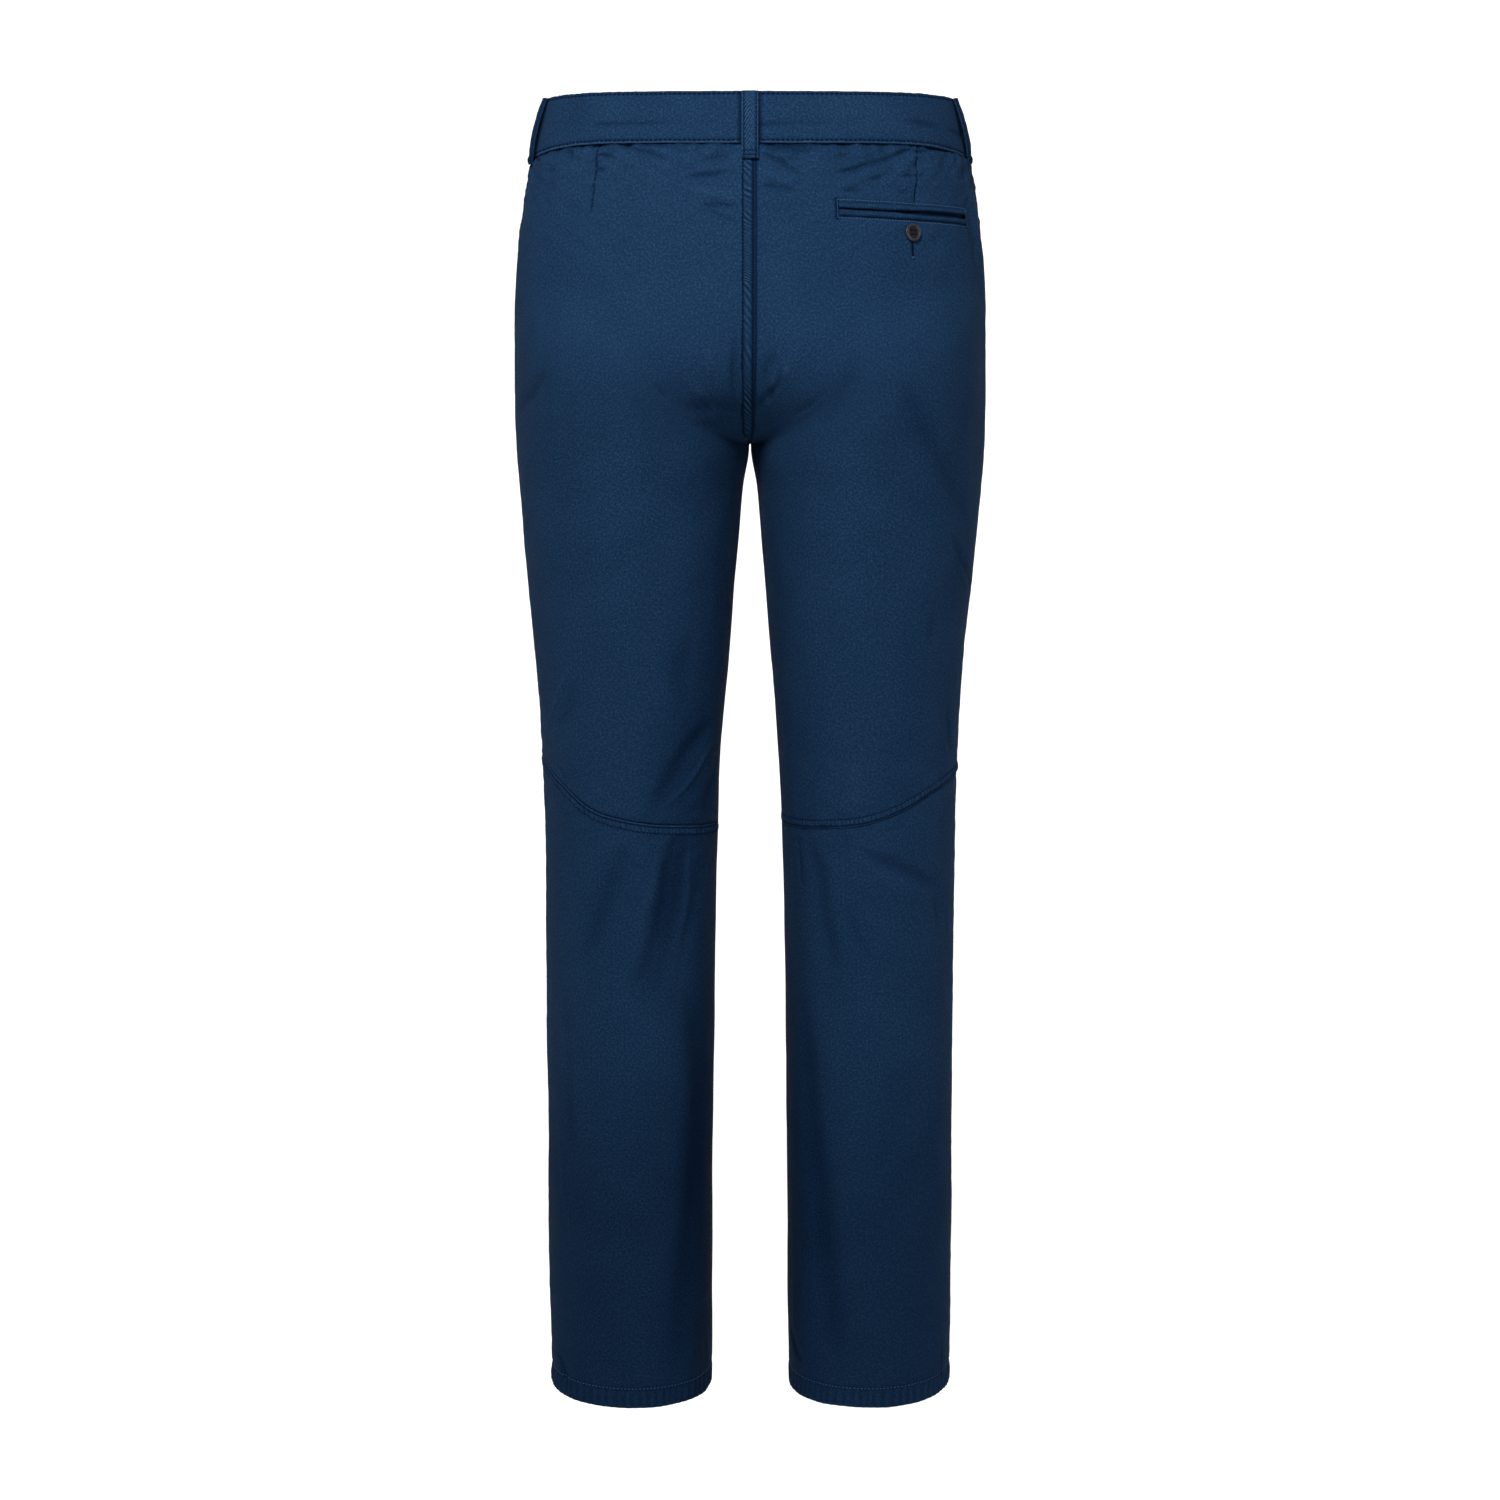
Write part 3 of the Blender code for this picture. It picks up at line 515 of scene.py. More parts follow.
class Paint:  # a material and the nodes behind its shader
    def __init__(self, name):
        self.material = bpy.data.materials.new(name)
        self.material.use_nodes = True
        self.tree = self.material.node_tree
        self.shader = self.tree.nodes["Principled BSDF"]

    def node(self, kind, settings=None, links=None, out=0):
        made = self.tree.nodes.new(kind)
        for key, setting in (settings or {}).items():
            setattr(made, key, setting)
        for key, link in (links or {}).items():
            self.fill(made.inputs[key], link)
        return Value(self, made.outputs[out])

    def fill(self, socket, link):
        if isinstance(link, Value):
            self.tree.links.new(link.socket, socket)
        else:
            socket.default_value = link

    def mix(self, share, first, second):
        settings = {"data_type": "RGBA", "blend_type": "MIX"}
        return self.node("ShaderNodeMix", settings, {0: share, 6: first, 7: second}, 2)

    def grain(self, place, scale, detail=2.0):
        return self.node("ShaderNodeTexNoise", {"noise_dimensions": "3D"},
                         {"Vector": place, "Scale": scale, "Detail": detail}, "Fac")

    def set(self, **sockets):
        for name, link in sockets.items():
            self.fill(self.shader.inputs[name.replace("_", " ")], link)


cloths = {  # base colour, lighter yarn that also serves as painted highlight, darker yarn that also serves as painted shade
    "bodyCloth": ((0.0060, 0.0215, 0.0530), (0.019, 0.047, 0.098), (0.0022, 0.0088, 0.025)),
    "bandCloth": ((0.0056, 0.0206, 0.0510), (0.019, 0.047, 0.098), (0.0022, 0.0088, 0.025)),
    "loopCloth": ((0.0066, 0.0232, 0.0565), (0.024, 0.056, 0.112), (0.0022, 0.0088, 0.025)),
}
weave = {"wale": 0.0011, "lean": 0.55, "yarn": 1500.0, "speck": 560.0, "cloud": 22.0,
         "rough": 0.86, "bump": 0.55, "bumpHeight": 0.00028}


def makeCloth(name):
    base, light, dark = ((*colour, 1.0) for colour in cloths[name])
    paint = Paint(name)
    place = paint.node("ShaderNodeUVMap", {"uv_map": "cut"})
    across = paint.node("ShaderNodeSeparateXYZ", None, {0: place}, 0)
    along = paint.node("ShaderNodeSeparateXYZ", None, {0: place}, 1)
    turns = 2 * pi / weave["wale"]
    wales = (across * turns + along * (turns * weave["lean"])).sine()
    picks = (along * (turns * 1.7)).sine()
    yarn = paint.grain(place, weave["yarn"], 1.0)
    speck = paint.grain(place, weave["speck"], 3.0)
    cloud = paint.grain(place, weave["cloud"], 3.0)
    # painted light from the sheets: a painted highlight towards the lighter yarn on ridges and
    # rolled edges, painted shade towards the darker yarn in creases, seams and hollows; on the
    # belt loops it also carries the weave
    paintedLightAndWeave = paint.node("ShaderNodeAttribute", {"attribute_name": "paintedLightAndWeave"}, None, "Fac")
    fleck = (speck - 0.5) * 2.2 + (yarn - 0.5) * 1.2
    lightShare = fleck + (cloud - 0.5) * 0.35 + wales * 0.04 + paintedLightAndWeave * 0.5 + 0.02
    darkShare = (cloud - 0.5) * -0.4 - fleck * 0.9 - paintedLightAndWeave * 0.6 + 0.02
    colour = paint.mix(lightShare.clamped(), base, light)
    colour = paint.mix(darkShare.clamped(), colour, dark)
    height = wales * 0.35 + picks * 0.12 + yarn * 0.8 + speck * 0.7
    bump = paint.node("ShaderNodeBump", None, {"Strength": weave["bump"], "Height": height,
                                               "Distance": weave["bumpHeight"]}, "Normal")
    paint.set(Base_Color=colour, Roughness=weave["rough"] + (speck - 0.5) * 0.25, Normal=bump,
              Specular_IOR_Level=0.02)
    return paint.material


def makeThread(name, colour):
    paint = Paint(name)
    place = paint.node("ShaderNodeTexCoord", None, None, "Object")
    ply = paint.grain(place, 2600.0, 1.0)
    pale = tuple(min(1.0, part * 1.5) for part in colour)
    paint.set(Base_Color=paint.mix(ply, (*colour, 1.0), (*pale, 1.0)), Roughness=0.60 + ply * 0.2,
              Specular_IOR_Level=0.03)
    return paint.material


# the rim colour is a painted highlight on the button's raised rim
horn = {"dark": (0.0038, 0.0042, 0.0066, 1.0), "light": (0.013, 0.0105, 0.0115, 1.0),
        "rim": (0.024, 0.029, 0.037, 1.0), "streak": 190.0, "fleck": 900.0}


def makeHorn(name):
    paint = Paint(name)
    place = paint.node("ShaderNodeTexCoord", None, None, "Object")
    streak = paint.node("ShaderNodeTexNoise", {"noise_dimensions": "3D"},
                        {"Vector": place, "Scale": horn["streak"], "Detail": 4.0,
                         "Distortion": 1.6}, "Fac")
    fleck = paint.grain(place, horn["fleck"])
    # painted highlight: the lighter rim colour near the edge, varied by the grain
    rim = paint.node("ShaderNodeAttribute", {"attribute_name": "paintedLightAndWeave"}, None, "Fac")
    colour = paint.mix((streak * 2.6 - 0.8).clamped(), horn["dark"], horn["light"])
    colour = paint.mix((rim * (0.35 + streak * 0.8)).clamped(), colour, horn["rim"])
    paint.set(Base_Color=colour, Roughness=0.40 + fleck * 0.15, Coat_Weight=0.05,
              Coat_Roughness=0.20, Specular_IOR_Level=0.12)
    return paint.material


finishes = {name: makeCloth(name) for name in cloths}
# the darker thread is the same navy thread darkened as painted shade of stitches sunk in their
# holes and channels
threads = {"threadPaintedShade": (0.0012, 0.0048, 0.0160), "threadPale": (0.0190, 0.0450, 0.0920)}
finishes.update({name: makeThread(name, colour) for name, colour in threads.items()})
finishes["horn"] = makeHorn("horn")
print("materials made")


def finishPiece(name, mesh, finish, nodes=()):
    piece = link(bpy.data.objects.new(name, mesh))
    mesh.materials.append(finishes[finish])
    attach(piece, "root")
    if nodes:
        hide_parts(*nodes)
    return piece


def denser(t, pull, spots=()):  # shares of 0 to 1, closer together at both ends and at spots
    if not spots:
        return t - pull * np.sin(2 * pi * t) / (2 * pi)
    share = np.linspace(0, 1, 4001)
    weight = 1 / (1 - pull * np.cos(2 * pi * share) * 0.9)
    for spot, width in spots:
        weight += 2.0 * peak(share - spot, width)
    reached = np.cumsum(weight) - weight[0]
    return np.interp(t, reached / reached[-1], share)


def makeSheet(name, columns, rows, place, finish, nodes=(), wall=0.0012):
    # place turns shares across and down into points and a painted light value (painted shade and
    # highlight, on the belt loops also the weave); "cut" is the cloth laid flat
    bm = bmesh.new()
    bmesh.ops.create_grid(bm, x_segments=columns, y_segments=rows, size=0.5)
    across = np.array([vert.co.x for vert in bm.verts]) + 0.5
    down = 0.5 - np.array([vert.co.y for vert in bm.verts])
    points, paintedLightAndWeave = place(across, down)
    column, row = np.rint(across * columns).astype(int), np.rint(down * rows).astype(int)
    grid = np.zeros((rows + 1, columns + 1, 3))
    grid[row, column] = points
    flat = [np.cumsum(np.linalg.norm(np.diff(grid, axis=way, prepend=0), axis=-1), axis=way)
            for way in (1, 0)]
    flat = [flat[0] - flat[0][:, columns // 2, None], flat[1] - flat[1][:1]]
    cut = np.stack([flat[0][row, column], -flat[1][row, column]], axis=-1)
    for vert, point in zip(bm.verts, points):
        vert.co = point
    mesh = meshFrom(bm, name)
    corner = np.zeros(len(mesh.loops), int)
    mesh.loops.foreach_get("vertex_index", corner)
    mesh.uv_layers.new(name="cut").data.foreach_set("uv", cut[corner].ravel())
    shade = mesh.attributes.new("paintedLightAndWeave", "FLOAT", "POINT")
    shade.data.foreach_set("value", np.broadcast_to(paintedLightAndWeave, across.shape).astype(float))
    piece = finishPiece(name, mesh, finish, nodes)
    shell = piece.modifiers.new("wall", "SOLIDIFY")
    shell.thickness = wall
    shell.offset = -1
    mesh.shade_smooth()
    return piece


body = {"wall": 0.0012, "dip": 0.0011, "dipWidth": 0.0016, "tuck": 0.0016, "tuckWidth": 0.0022,
        "tucked": 0.0050, "hemTurn": 0.0185, "hemRow": 0.0170, "hemFold": 0.0013,
        "hemDip": 0.0009, "pucker": 0.00095}
fell = {"left": 0.0072, "right": 0.0046, "end": -0.2620, "rise": 0.0009, "wall": 0.0008,
        "rows": (-0.0059, 0.0024), "channel": 0.0007, "pucker": 0.00050, "knee": 0.0092,
        "kneeRows": (0.0018, 0.0076), "kneeRise": 0.0006, "kneePucker": 0.00024, "fly": 0.0042}


def edgeDip(distance, depth, width):
    return -depth * peak(distance, width)


def panelPoints(side, angle, level, top, bottom):
    # dips at the edges, puckers by the seams; top and bottom are the panel's own edges
    around = ringRadius(level) * np.abs(angle)
    toCentre = fromSeam(angle, level)
    out = edgeDip(around, body["dip"], body["dipWidth"])
    out += edgeDip(toCentre, body["dip"], body["dipWidth"])
    waist = np.abs(top - waistLevel(angle)) < 0.0001
    out += edgeDip(top - level, body["tuck"], body["tuckWidth"]) * np.where(waist, 1, 0.5)
    out += edgeDip(level - bottom, body["dip"], body["dipWidth"] * 0.7)
    seamwise = ripple(level + 3 * side, 0.0075, 1.7)
    leg = ease((form["crotch"] + 0.045 - level) / 0.035)
    nearSeam = fading(toCentre, 0.012) * (1 - leg) + 0.12 * fading(around, 0.010)
    nearSeam *= 1 - 0.75 * peak(toCentre, 0.010, 4)
    out += seamwise * nearSeam * body["pucker"]
    crosswise = ripple(ringRadius(level) * angle, 0.008, 5.2 + side)
    nearTop = fading(top - level, 0.012) * np.where(waist, 1, 0.15)
    return out + crosswise * nearTop * body["pucker"]


shades = (  # patches of painted shade in the crotch and where the legs hide each other: sides, metres from the centre seam, reach; level and fade at each end, strength
    ((-1, 1), 0.000, 0.006, -0.214, 0.014, -0.320, 0.05, -2.20),
    ((-1,), 0.034, 0.024, -0.660, 0.100, -2.000, 0.10, -0.60),
    ((1,), 0.024, 0.024, -0.660, 0.100, -2.000, 0.10, -0.60),
    ((-1,), 0.074, 0.026, -0.420, 0.100, -0.700, 0.08, -0.46),
)


def panelPaintedLight(side, angle, level, top, out):  # painted highlight on ridges, painted shade in recesses and creases
    paintedLightAndWeave = 260 * out + 220 * creaseRelief(side, angle, level)
    sewn = dartRelief(side, angle, level)[1]
    # painted shade in dashes along each dart's sewn line
    paintedLightAndWeave -= sewn * (1.1 + 0.9 * np.sin(2 * pi * level / 0.0052))
    # painted shadow along the panel's top seam, wider under the waistband right of the seat seam
    waist = np.abs(top - waistLevel(angle)) < 0.0001
    toCentre = fromSeam(angle, level)
    wedge = (side > 0) * peak(toCentre - 0.030, 0.020, 4)
    width = np.where(waist, 0.0012 + 0.0026 * wedge, 0.0007)
    paintedLightAndWeave -= np.where(waist, 1.5 + 1.2 * wedge, 0.9) * fading(top - level, width)
    for shadeSides, middle, reach, start, startFade, end, endFade, strength in shades:
        if side in shadeSides:
            spot = peak(toCentre - middle, reach) * ease((start - level) / startFade)
            paintedLightAndWeave += strength * spot * ease((level - end) / endFade) * (angle < 0)
    # painted light: the inner thigh just below the crotch made paler
    paintedLightAndWeave += 0.80 * peak(toCentre - 0.020, 0.030) * peak(level + 0.33, 0.07) * (angle < 0)
    # painted shade: the lower legs darker towards the hems, the left one more
    paintedLightAndWeave -= 0.55 * ease((-0.74 - level) / 0.18) + 0.16 * (side < 0) * ease((-0.74 - level) / 0.12)
    # painted shadow beside the seat fell's folded edge, painted shade in the pocket's mouth and at
    # its ends
    if side > 0:
        beside = toCentre - fell["right"] - 0.0003
        paintedLightAndWeave -= 2.4 * (angle < 0) * peak(beside, 0.0009) * (level > -0.2245)
        over, part = pocketAway(angle, level)
        paintedLightAndWeave -= 3.5 * alongPocket(part) * peak(over, 0.0024)
        ends = peak(np.abs(part - 0.5) - 0.508, 0.010)
        paintedLightAndWeave -= 3.4 * ends * ease((0.0088 - np.abs(over)) / 0.0015)
    return paintedLightAndWeave


def tucked(side, angle, level, points):  # above the waist seam the cloth lies flat in the band
    inside = level > waistLevel(angle) + 0.0002
    flat = formPoint(side, angle, level) - 0.0009 * formNormal(side, angle, level)
    return np.where(inside[..., None], flat, points)


def turned(side, facing, share):  # from seam to seam, the same way round seen from outside
    return facing * pi * (share if side * facing > 0 else 1 - share)


def backPlace(side):
    spots = [(1 - 89 / 180, 0.022)] if side > 0 else [(97.5 / 180, 0.012)]

    def place(across, down):
        angle = turned(side, -1, denser(across, 0.5, spots))
        top, bottom = waistLevel(angle), kneeLevel(side, angle)
        share = np.interp(denser(down, 0.5), (0, 0.36, 1), (0, 0.16, 1))
        level = top + body["tucked"] + (bottom - top - body["tucked"]) * share
        out = panelPoints(side, angle, level, top, bottom)
        points = tucked(side, angle, level, clothPoint(side, angle, level, out))
        return points, panelPaintedLight(side, angle, level, top, out)
    return place


def calfPlace(side):
    def place(across, down):
        angle = turned(side, -1, denser(across, 0.5))
        return hemmed(side, angle, kneeLevel(side, angle), down)
    return place


def frontPlace(side):
    def place(across, down):
        angle = turned(side, 1, denser(across, 0.5))
        return hemmed(side, angle, waistLevel(angle), down, body["tucked"])
    return place


def hemmed(side, angle, top, down, over=0.0):  # down the leg, round the edge and up inside the hem
    bottom = hemLevel(angle)
    fold = body["hemFold"]
    drop = top + over - bottom - fold
    around = pi * fold
    length = drop + around + body["hemTurn"]
    s = denser(down, 0.7) * length
    bend = np.clip((s - drop) / fold, 0, pi)
    up = np.clip(s - drop - around, 0, None)
    level = np.where(s < drop, top + over - s, bottom + fold - fold * np.sin(bend) + up)
    inset = -fold * (1 - np.cos(bend))
    hidden = s > drop + around / 2
    face = panelPoints(side, angle, level, top, bottom - 1)
    stitched = np.abs(level - (bottom + body["hemRow"]))
    face += edgeDip(stitched, body["hemDip"], 0.0016)
    below = peak(level - bottom - 0.008, 0.009)
    along = ringRadius(level) * angle
    puckers = np.sin(2 * pi * along / 0.0068 + 2.4 * ripple(along, 0.020, 8.4 + side)) * below
    points = clothPoint(side, angle, level, face + puckers * 0.00045 + inset)
    points = tucked(side, angle, level, points)
    # painted shade and highlight across the hem's puckers, painted shade along the stitched row
    paintedLightAndWeave = panelPaintedLight(side, angle, level, top, face) + 0.40 * puckers
    paintedLightAndWeave -= 0.5 * peak(stitched, 0.0012)
    return points, np.where(hidden, 0.0, paintedLightAndWeave)


panels = {  # columns, rows, flat width and length, flat area
    "back": (212, 215, (0.300, 0.545), 0.1440),
    "calf": (164, 170, (0.255, 0.535), 0.1190),
    "front": (72, 200, (0.300, 1.060), 0.2610),
}
made = {}
for side, word in ((-1, "left"), (1, "right")):
    for kind, placer in (("back", backPlace), ("calf", calfPlace), ("front", frontPlace)):
        columns, rows, flat, area = panels[kind]
        made[kind + word] = makeSheet(f"{kind}_{word}_cloth", columns, rows, placer(side),
                                      "bodyCloth", [f"{kind}_{word}"], body["wall"])
print("panels made")

band = {"proud": 0.0006, "wall": 0.0022, "over": 0.017, "under": 0.020, "ramp": 0.014,
        "lift": 0.0025, "topRoll": 0.0011, "lowRoll": 0.0007, "roll": 0.0011,
        "stitchIn": 0.0023, "channel": 0.00075, "crease": 0.62, "creaseDepth": 0.00080,
        "height": 0.041, "flat": (0.900, 0.046), "area": 0.0400}
loop = {"width": 0.0128, "wall": 0.0016, "drop": 0.0004, "stitchIn": 0.0017,
        "channel": 0.00060, "endShare": 0.86, "endLift": 0.0011, "length": 0.05,
        "tacks": (0.885, 0.945)}
loopBowNames = ("share", "out")
loopBow = ((0.0, 0.0012), (0.10, 0.0018), (0.28, 0.0027), (0.50, 0.0031), (0.70, 0.0027),
           (0.86, 0.0017), (0.93, 0.0006), (1.0, 0.0004))
loops = {  # side, angle, level of the lower edge, clearance there
    "back": (1, -180, -0.0518, 0.0012),
    "left": (-1, -24, -0.0555, 0.0004),
    "right": (1, -22, -0.0555, 0.0004),
    "front_left": (-1, 118, -0.0555, 0.0004),
    "front_right": (1, 118, -0.0555, 0.0004),
}


def centreTurn(facing, offset, level):  # radians from a centre seam for an offset in metres
    turns = np.linspace(0, 1.0, 81)
    shape = np.broadcast(offset, level).shape
    offset, level = np.broadcast_to(offset, shape).ravel(), np.broadcast_to(level, shape).ravel()
    found = np.zeros(len(level))
    for height in np.unique(level):
        reach = np.abs(formPoint(1, facing * (pi - turns), height)[:, 0])
        row = level == height
        found[row] = np.interp(np.abs(offset[row]), np.maximum.accumulate(reach), turns)
    return found.reshape(shape)


def lapTurn(key):  # one of band's lengths as radians from the centre front
    return float(centreTurn(1, band[key], form["waistSeam"] / 2))


def bandPlace(q):  # q counts round the waist from the centre front over the right hip
    left = (q < 0) | ((q > 2 * pi) & (q < 4 * pi))
    side = np.where(left, -1, 1)
    angle = np.select([q < 0, q <= 2 * pi, q < 4 * pi], [pi + q, pi - q, q - 3 * pi], 5 * pi - q)
    return side, angle


def bothSides(side, angle, level):  # form points and normals where the side varies
    points, normals = formPoint(1, angle, level), formNormal(1, angle, level)
    mirror = np.stack([side, np.ones_like(side), np.ones_like(side)], axis=-1)
    return points * mirror, normals * mirror


def bandCrease(q):  # where a belt has creased the band, as a share of its height
    return band["crease"] + 0.08 * ripple(q * ringRadius(form["waistSeam"] / 2), 0.090, 4.4)


def bandSurface(q, share, out=0.0):
    side, angle = bandPlace(q)
    top, low = bandTop(angle), waistLevel(angle) + form["halfGap"]
    level = top + (low - top) * share
    points, normals = bothSides(side, angle, level)
    under, ramp = lapTurn("under"), lapTurn("ramp")
    lift = band["lift"] * ease((q - (4 * pi - under - ramp)) / ramp)
    along = q * ringRadius(form["waistSeam"] / 2)
    relief = edgeDip(top - level, band["topRoll"], band["roll"])
    relief += edgeDip(level - low, band["lowRoll"], band["roll"])
    for edge in (top - band["stitchIn"], low + band["stitchIn"]):
        relief += edgeDip(level - edge, band["channel"], 0.0009)
    near = fading(top - level, 0.004) + fading(level - low, 0.006)
    relief += ripple(along, 0.0060, 2.2) * near * 0.00065
    crease = peak((share - bandCrease(q)) * 0.040, 0.0028)
    relief -= crease * band["creaseDepth"] * (0.6 + 0.4 * ripple(along, 0.040, 9.1))
    relief += ripple(along, 0.055, 6.6) * np.sin(pi * share) * 0.0010
    proud = band["proud"] + lift + relief + out
    return points + normals * proud[..., None], normals, relief


def bandSheet(across, down):
    over, under = lapTurn("over"), lapTurn("under")
    q = 4 * pi + over - (4 * pi + over + under) * across
    share = denser(down, 0.6)
    points, normals, relief = bandSurface(q, share)
    high = band["height"]
    # painted highlight on the rolled lower edge, painted shade along the stitch rows and in the
    # belt's crease
    low = peak((1 - share) * high, 0.0012)
    rows = np.abs(np.minimum(share, 1 - share) * high - band["stitchIn"])
    seamed = peak(rows, 0.0009)
    creased = peak((share - bandCrease(q)) * 0.040, 0.0014)
    creased *= np.clip(0.35 + 0.8 * ripple(q * 0.07, 0.030, 9.1), 0, 1)
    side, angle = bandPlace(q)
    # painted shadow on the band beside each belt loop
    away = np.full(q.shape, 1.0)
    for loopSide, degrees, *_ in loops.values():
        turn = math.radians(degrees)
        step = 0.02 if degrees > -180 else 0.10
        ends = formPoint(1, np.array([turn, turn + step]), -0.02)
        reach = np.abs(angle - turn) * np.linalg.norm(ends[1] - ends[0]) / step
        away = np.where((side == loopSide) | (degrees == -180), np.minimum(away, reach), away)
    shaded = peak(np.clip(away - loop["width"] / 2, 0, 1), 0.0020)
    return points, 200 * relief + 1.9 * low - 0.5 * seamed - 2.8 * shaded - 1.0 * creased


made["band"] = makeSheet("waistband_cloth", 620, 28, bandSheet, "bandCloth", ["waistband"],
                         band["wall"])
print("waistband made")


def centreStrip(facing, offset, level, out):  # points on both panels beside a centre seam
    turn = centreTurn(facing, offset, level)
    angle = facing * (pi - turn)
    right, left = clothPoint(1, angle, level, out), clothPoint(-1, angle, level, out)
    return np.where((offset > 0)[..., None], right, left)


def fellNarrow(level):  # the fell closes to a point at the crotch
    return 0.24 + 0.76 * ease((level + 0.238) / 0.026)


def seatFell(across, down):
    offset = -fell["left"] + (fell["left"] + fell["right"]) * denser(across, 0.3)
    level = form["waistSeam"] - 0.0004 + (fell["end"] - form["waistSeam"]) * down
    out = fell["rise"] + edgeDip(offset + fell["left"], 0.0011, 0.0009)
    out += edgeDip(fell["right"] - offset, 0.0016, 0.0007)
    for line in fell["rows"]:
        out += edgeDip(offset - line, fell["channel"], 0.0008)
    between = peak(offset + 0.0018, 0.0036, 4)
    period = 0.0034 + 0.0016 * ease((level + 0.150) / 0.060)
    wander = 3.2 * ripple(level, 0.011, 11.3) + 1.0 * ripple(offset + level * 0.3, 0.005, 2.8)
    diagonal = np.sin(2 * pi * (level + offset * 0.75) / period + wander)
    out += diagonal * between * fell["pucker"]
    end = ease((level - fell["end"]) / 0.004)
    points = centreStrip(-1, offset * fellNarrow(level), level, out - 0.001 * (1 - end))
    # painted shade and highlight from the relief and across the puckers, painted shade in the
    # stitch rows, in the vee at the crotch and beside the folded right edge
    flat = out - fell["rise"] - diagonal * between * fell["pucker"]
    strength = (0.95 + 0.9 * ripple(level, 0.008, 5.1)) * (1 + 0.5 * ease((-0.10 - level) / 0.05))
    paintedLightAndWeave = strength * diagonal * between + 330 * flat
    for line in fell["rows"]:
        paintedLightAndWeave -= 2.8 * peak(offset - line, 0.0010)
    paintedLightAndWeave -= 2.4 * (1 - ease((level + 0.234) / 0.018))
    return points, paintedLightAndWeave - 2.4 * (offset > fell["right"] - 0.0006)


def kneeFell(side):
    def place(across, down):
        angle = turned(side, -1, across)
        knee = kneeLevel(side, angle)
        share = down if side < 0 else 1 - down  # 0 at the seam, 1 at the free edge
        width = fell["knee"]
        level = knee + side * share * width
        out = fell["kneeRise"] + edgeDip(share * width, 0.0013, 0.0007)
        out += edgeDip((1 - share) * width, 0.0011, 0.0009)
        for line in fell["kneeRows"]:
            out += edgeDip(share * width - line, fell["channel"], 0.0008)
        along = ringRadius(level) * angle
        between = peak(share - 0.52, 0.36, 4)
        wander = 3.6 * ripple(along, 0.009, 3.9 + side)
        puckers = np.sin(2 * pi * (along + share * 0.001) / 0.0036 + wander) * between
        out += puckers * fell["kneePucker"]
        ends = ease(np.minimum(-angle, pi + angle) / 0.10)
        points = clothPoint(side, angle, level, out - 0.0010 * (1 - ends))
        # painted light from the relief and across the puckers, painted shade in the stitch rows, a
        # painted highlight just below the seam
        paintedLightAndWeave = 160 * (out - fell["kneeRise"]) + 0.45 * puckers
        for line in fell["kneeRows"]:
            paintedLightAndWeave -= 2.4 * peak(share * width - line, 0.0007)
        return points, paintedLightAndWeave + 1.2 * peak(share * width - 0.0007, 0.0005)
    return place


def flyEdge(across, down):
    offset = fell["fly"] * (1 - 2 * across)
    top = waistLevel(np.array(pi)) - 0.0004
    level = top + (fell["end"] - top) * down
    out = fell["rise"] + edgeDip(offset + fell["fly"], 0.0010, 0.0008)
    out += edgeDip(fell["fly"] - offset, 0.0012, 0.0008)
    out += ripple(level, 0.008, 14.2) * 0.00015
    points = centreStrip(1, offset * fellNarrow(level), level, out)
    # painted shade and highlight from the strip's relief
    return points, 200 * (out - fell["rise"])


made["seat"] = makeSheet("seat_fell_cloth", 18, 400, seatFell, "bodyCloth", ["seat_fell"],
                         fell["wall"])
for side, word in ((-1, "left"), (1, "right")):
    made["knee" + word] = makeSheet(f"knee_fell_{word}_cloth", 400, 14, kneeFell(side),
                                    "bodyCloth", [f"knee_fell_{word}"], fell["wall"])
made["fly"] = makeSheet("fly_edge_cloth", 8, 120, flyEdge, "bodyCloth", ["fly_edge"],
                        fell["wall"])
print("felled seams made")


def loopSurface(name, offset, share, extra=0.0):
    side, degrees, bottom, clear = loops[name]
    turn = math.radians(degrees)
    top = float(bandTop(np.array(turn))) - loop["drop"]
    level = top + (bottom - top) * share
    if degrees == -180:
        angle = centreTurn(-1, offset, level) - pi
        points, normals = bothSides(np.where(offset > 0, 1.0, -1.0), angle, level)
    else:
        span = formPoint(side, turn + 0.02, level) - formPoint(side, turn, level)
        angle = turn + side * offset * 0.02 / np.linalg.norm(span, axis=-1)
        points, normals = formPoint(side, angle, level), formNormal(side, angle, level)
    out = np.maximum(readCurve(loopBow, loopBowNames, "out", share), clear)
    over = level > waistLevel(angle) - 0.001
    out = np.where(over, np.maximum(out, 0.0010), out) + loop["wall"]
    out += loop["endLift"] * ease((share - loop["endShare"]) / 0.05)
    edge = loop["width"] / 2 - np.abs(offset)
    sewnAt = edge - loop["stitchIn"]
    out = out + edgeDip(edge, 0.0007, 0.0009) + edgeDip(sewnAt, loop["channel"], 0.0008)
    along = share * loop["length"]
    out += edgeDip(loop["length"] - along, 0.0010, 0.0010)
    rippled = ripple(along + offset * 0.6 + side, 0.0050, 21.0 + degrees)
    out += rippled * 0.00045 * peak(offset, 0.0035, 4)
    return points + normals * (out + extra)[..., None], normals, out


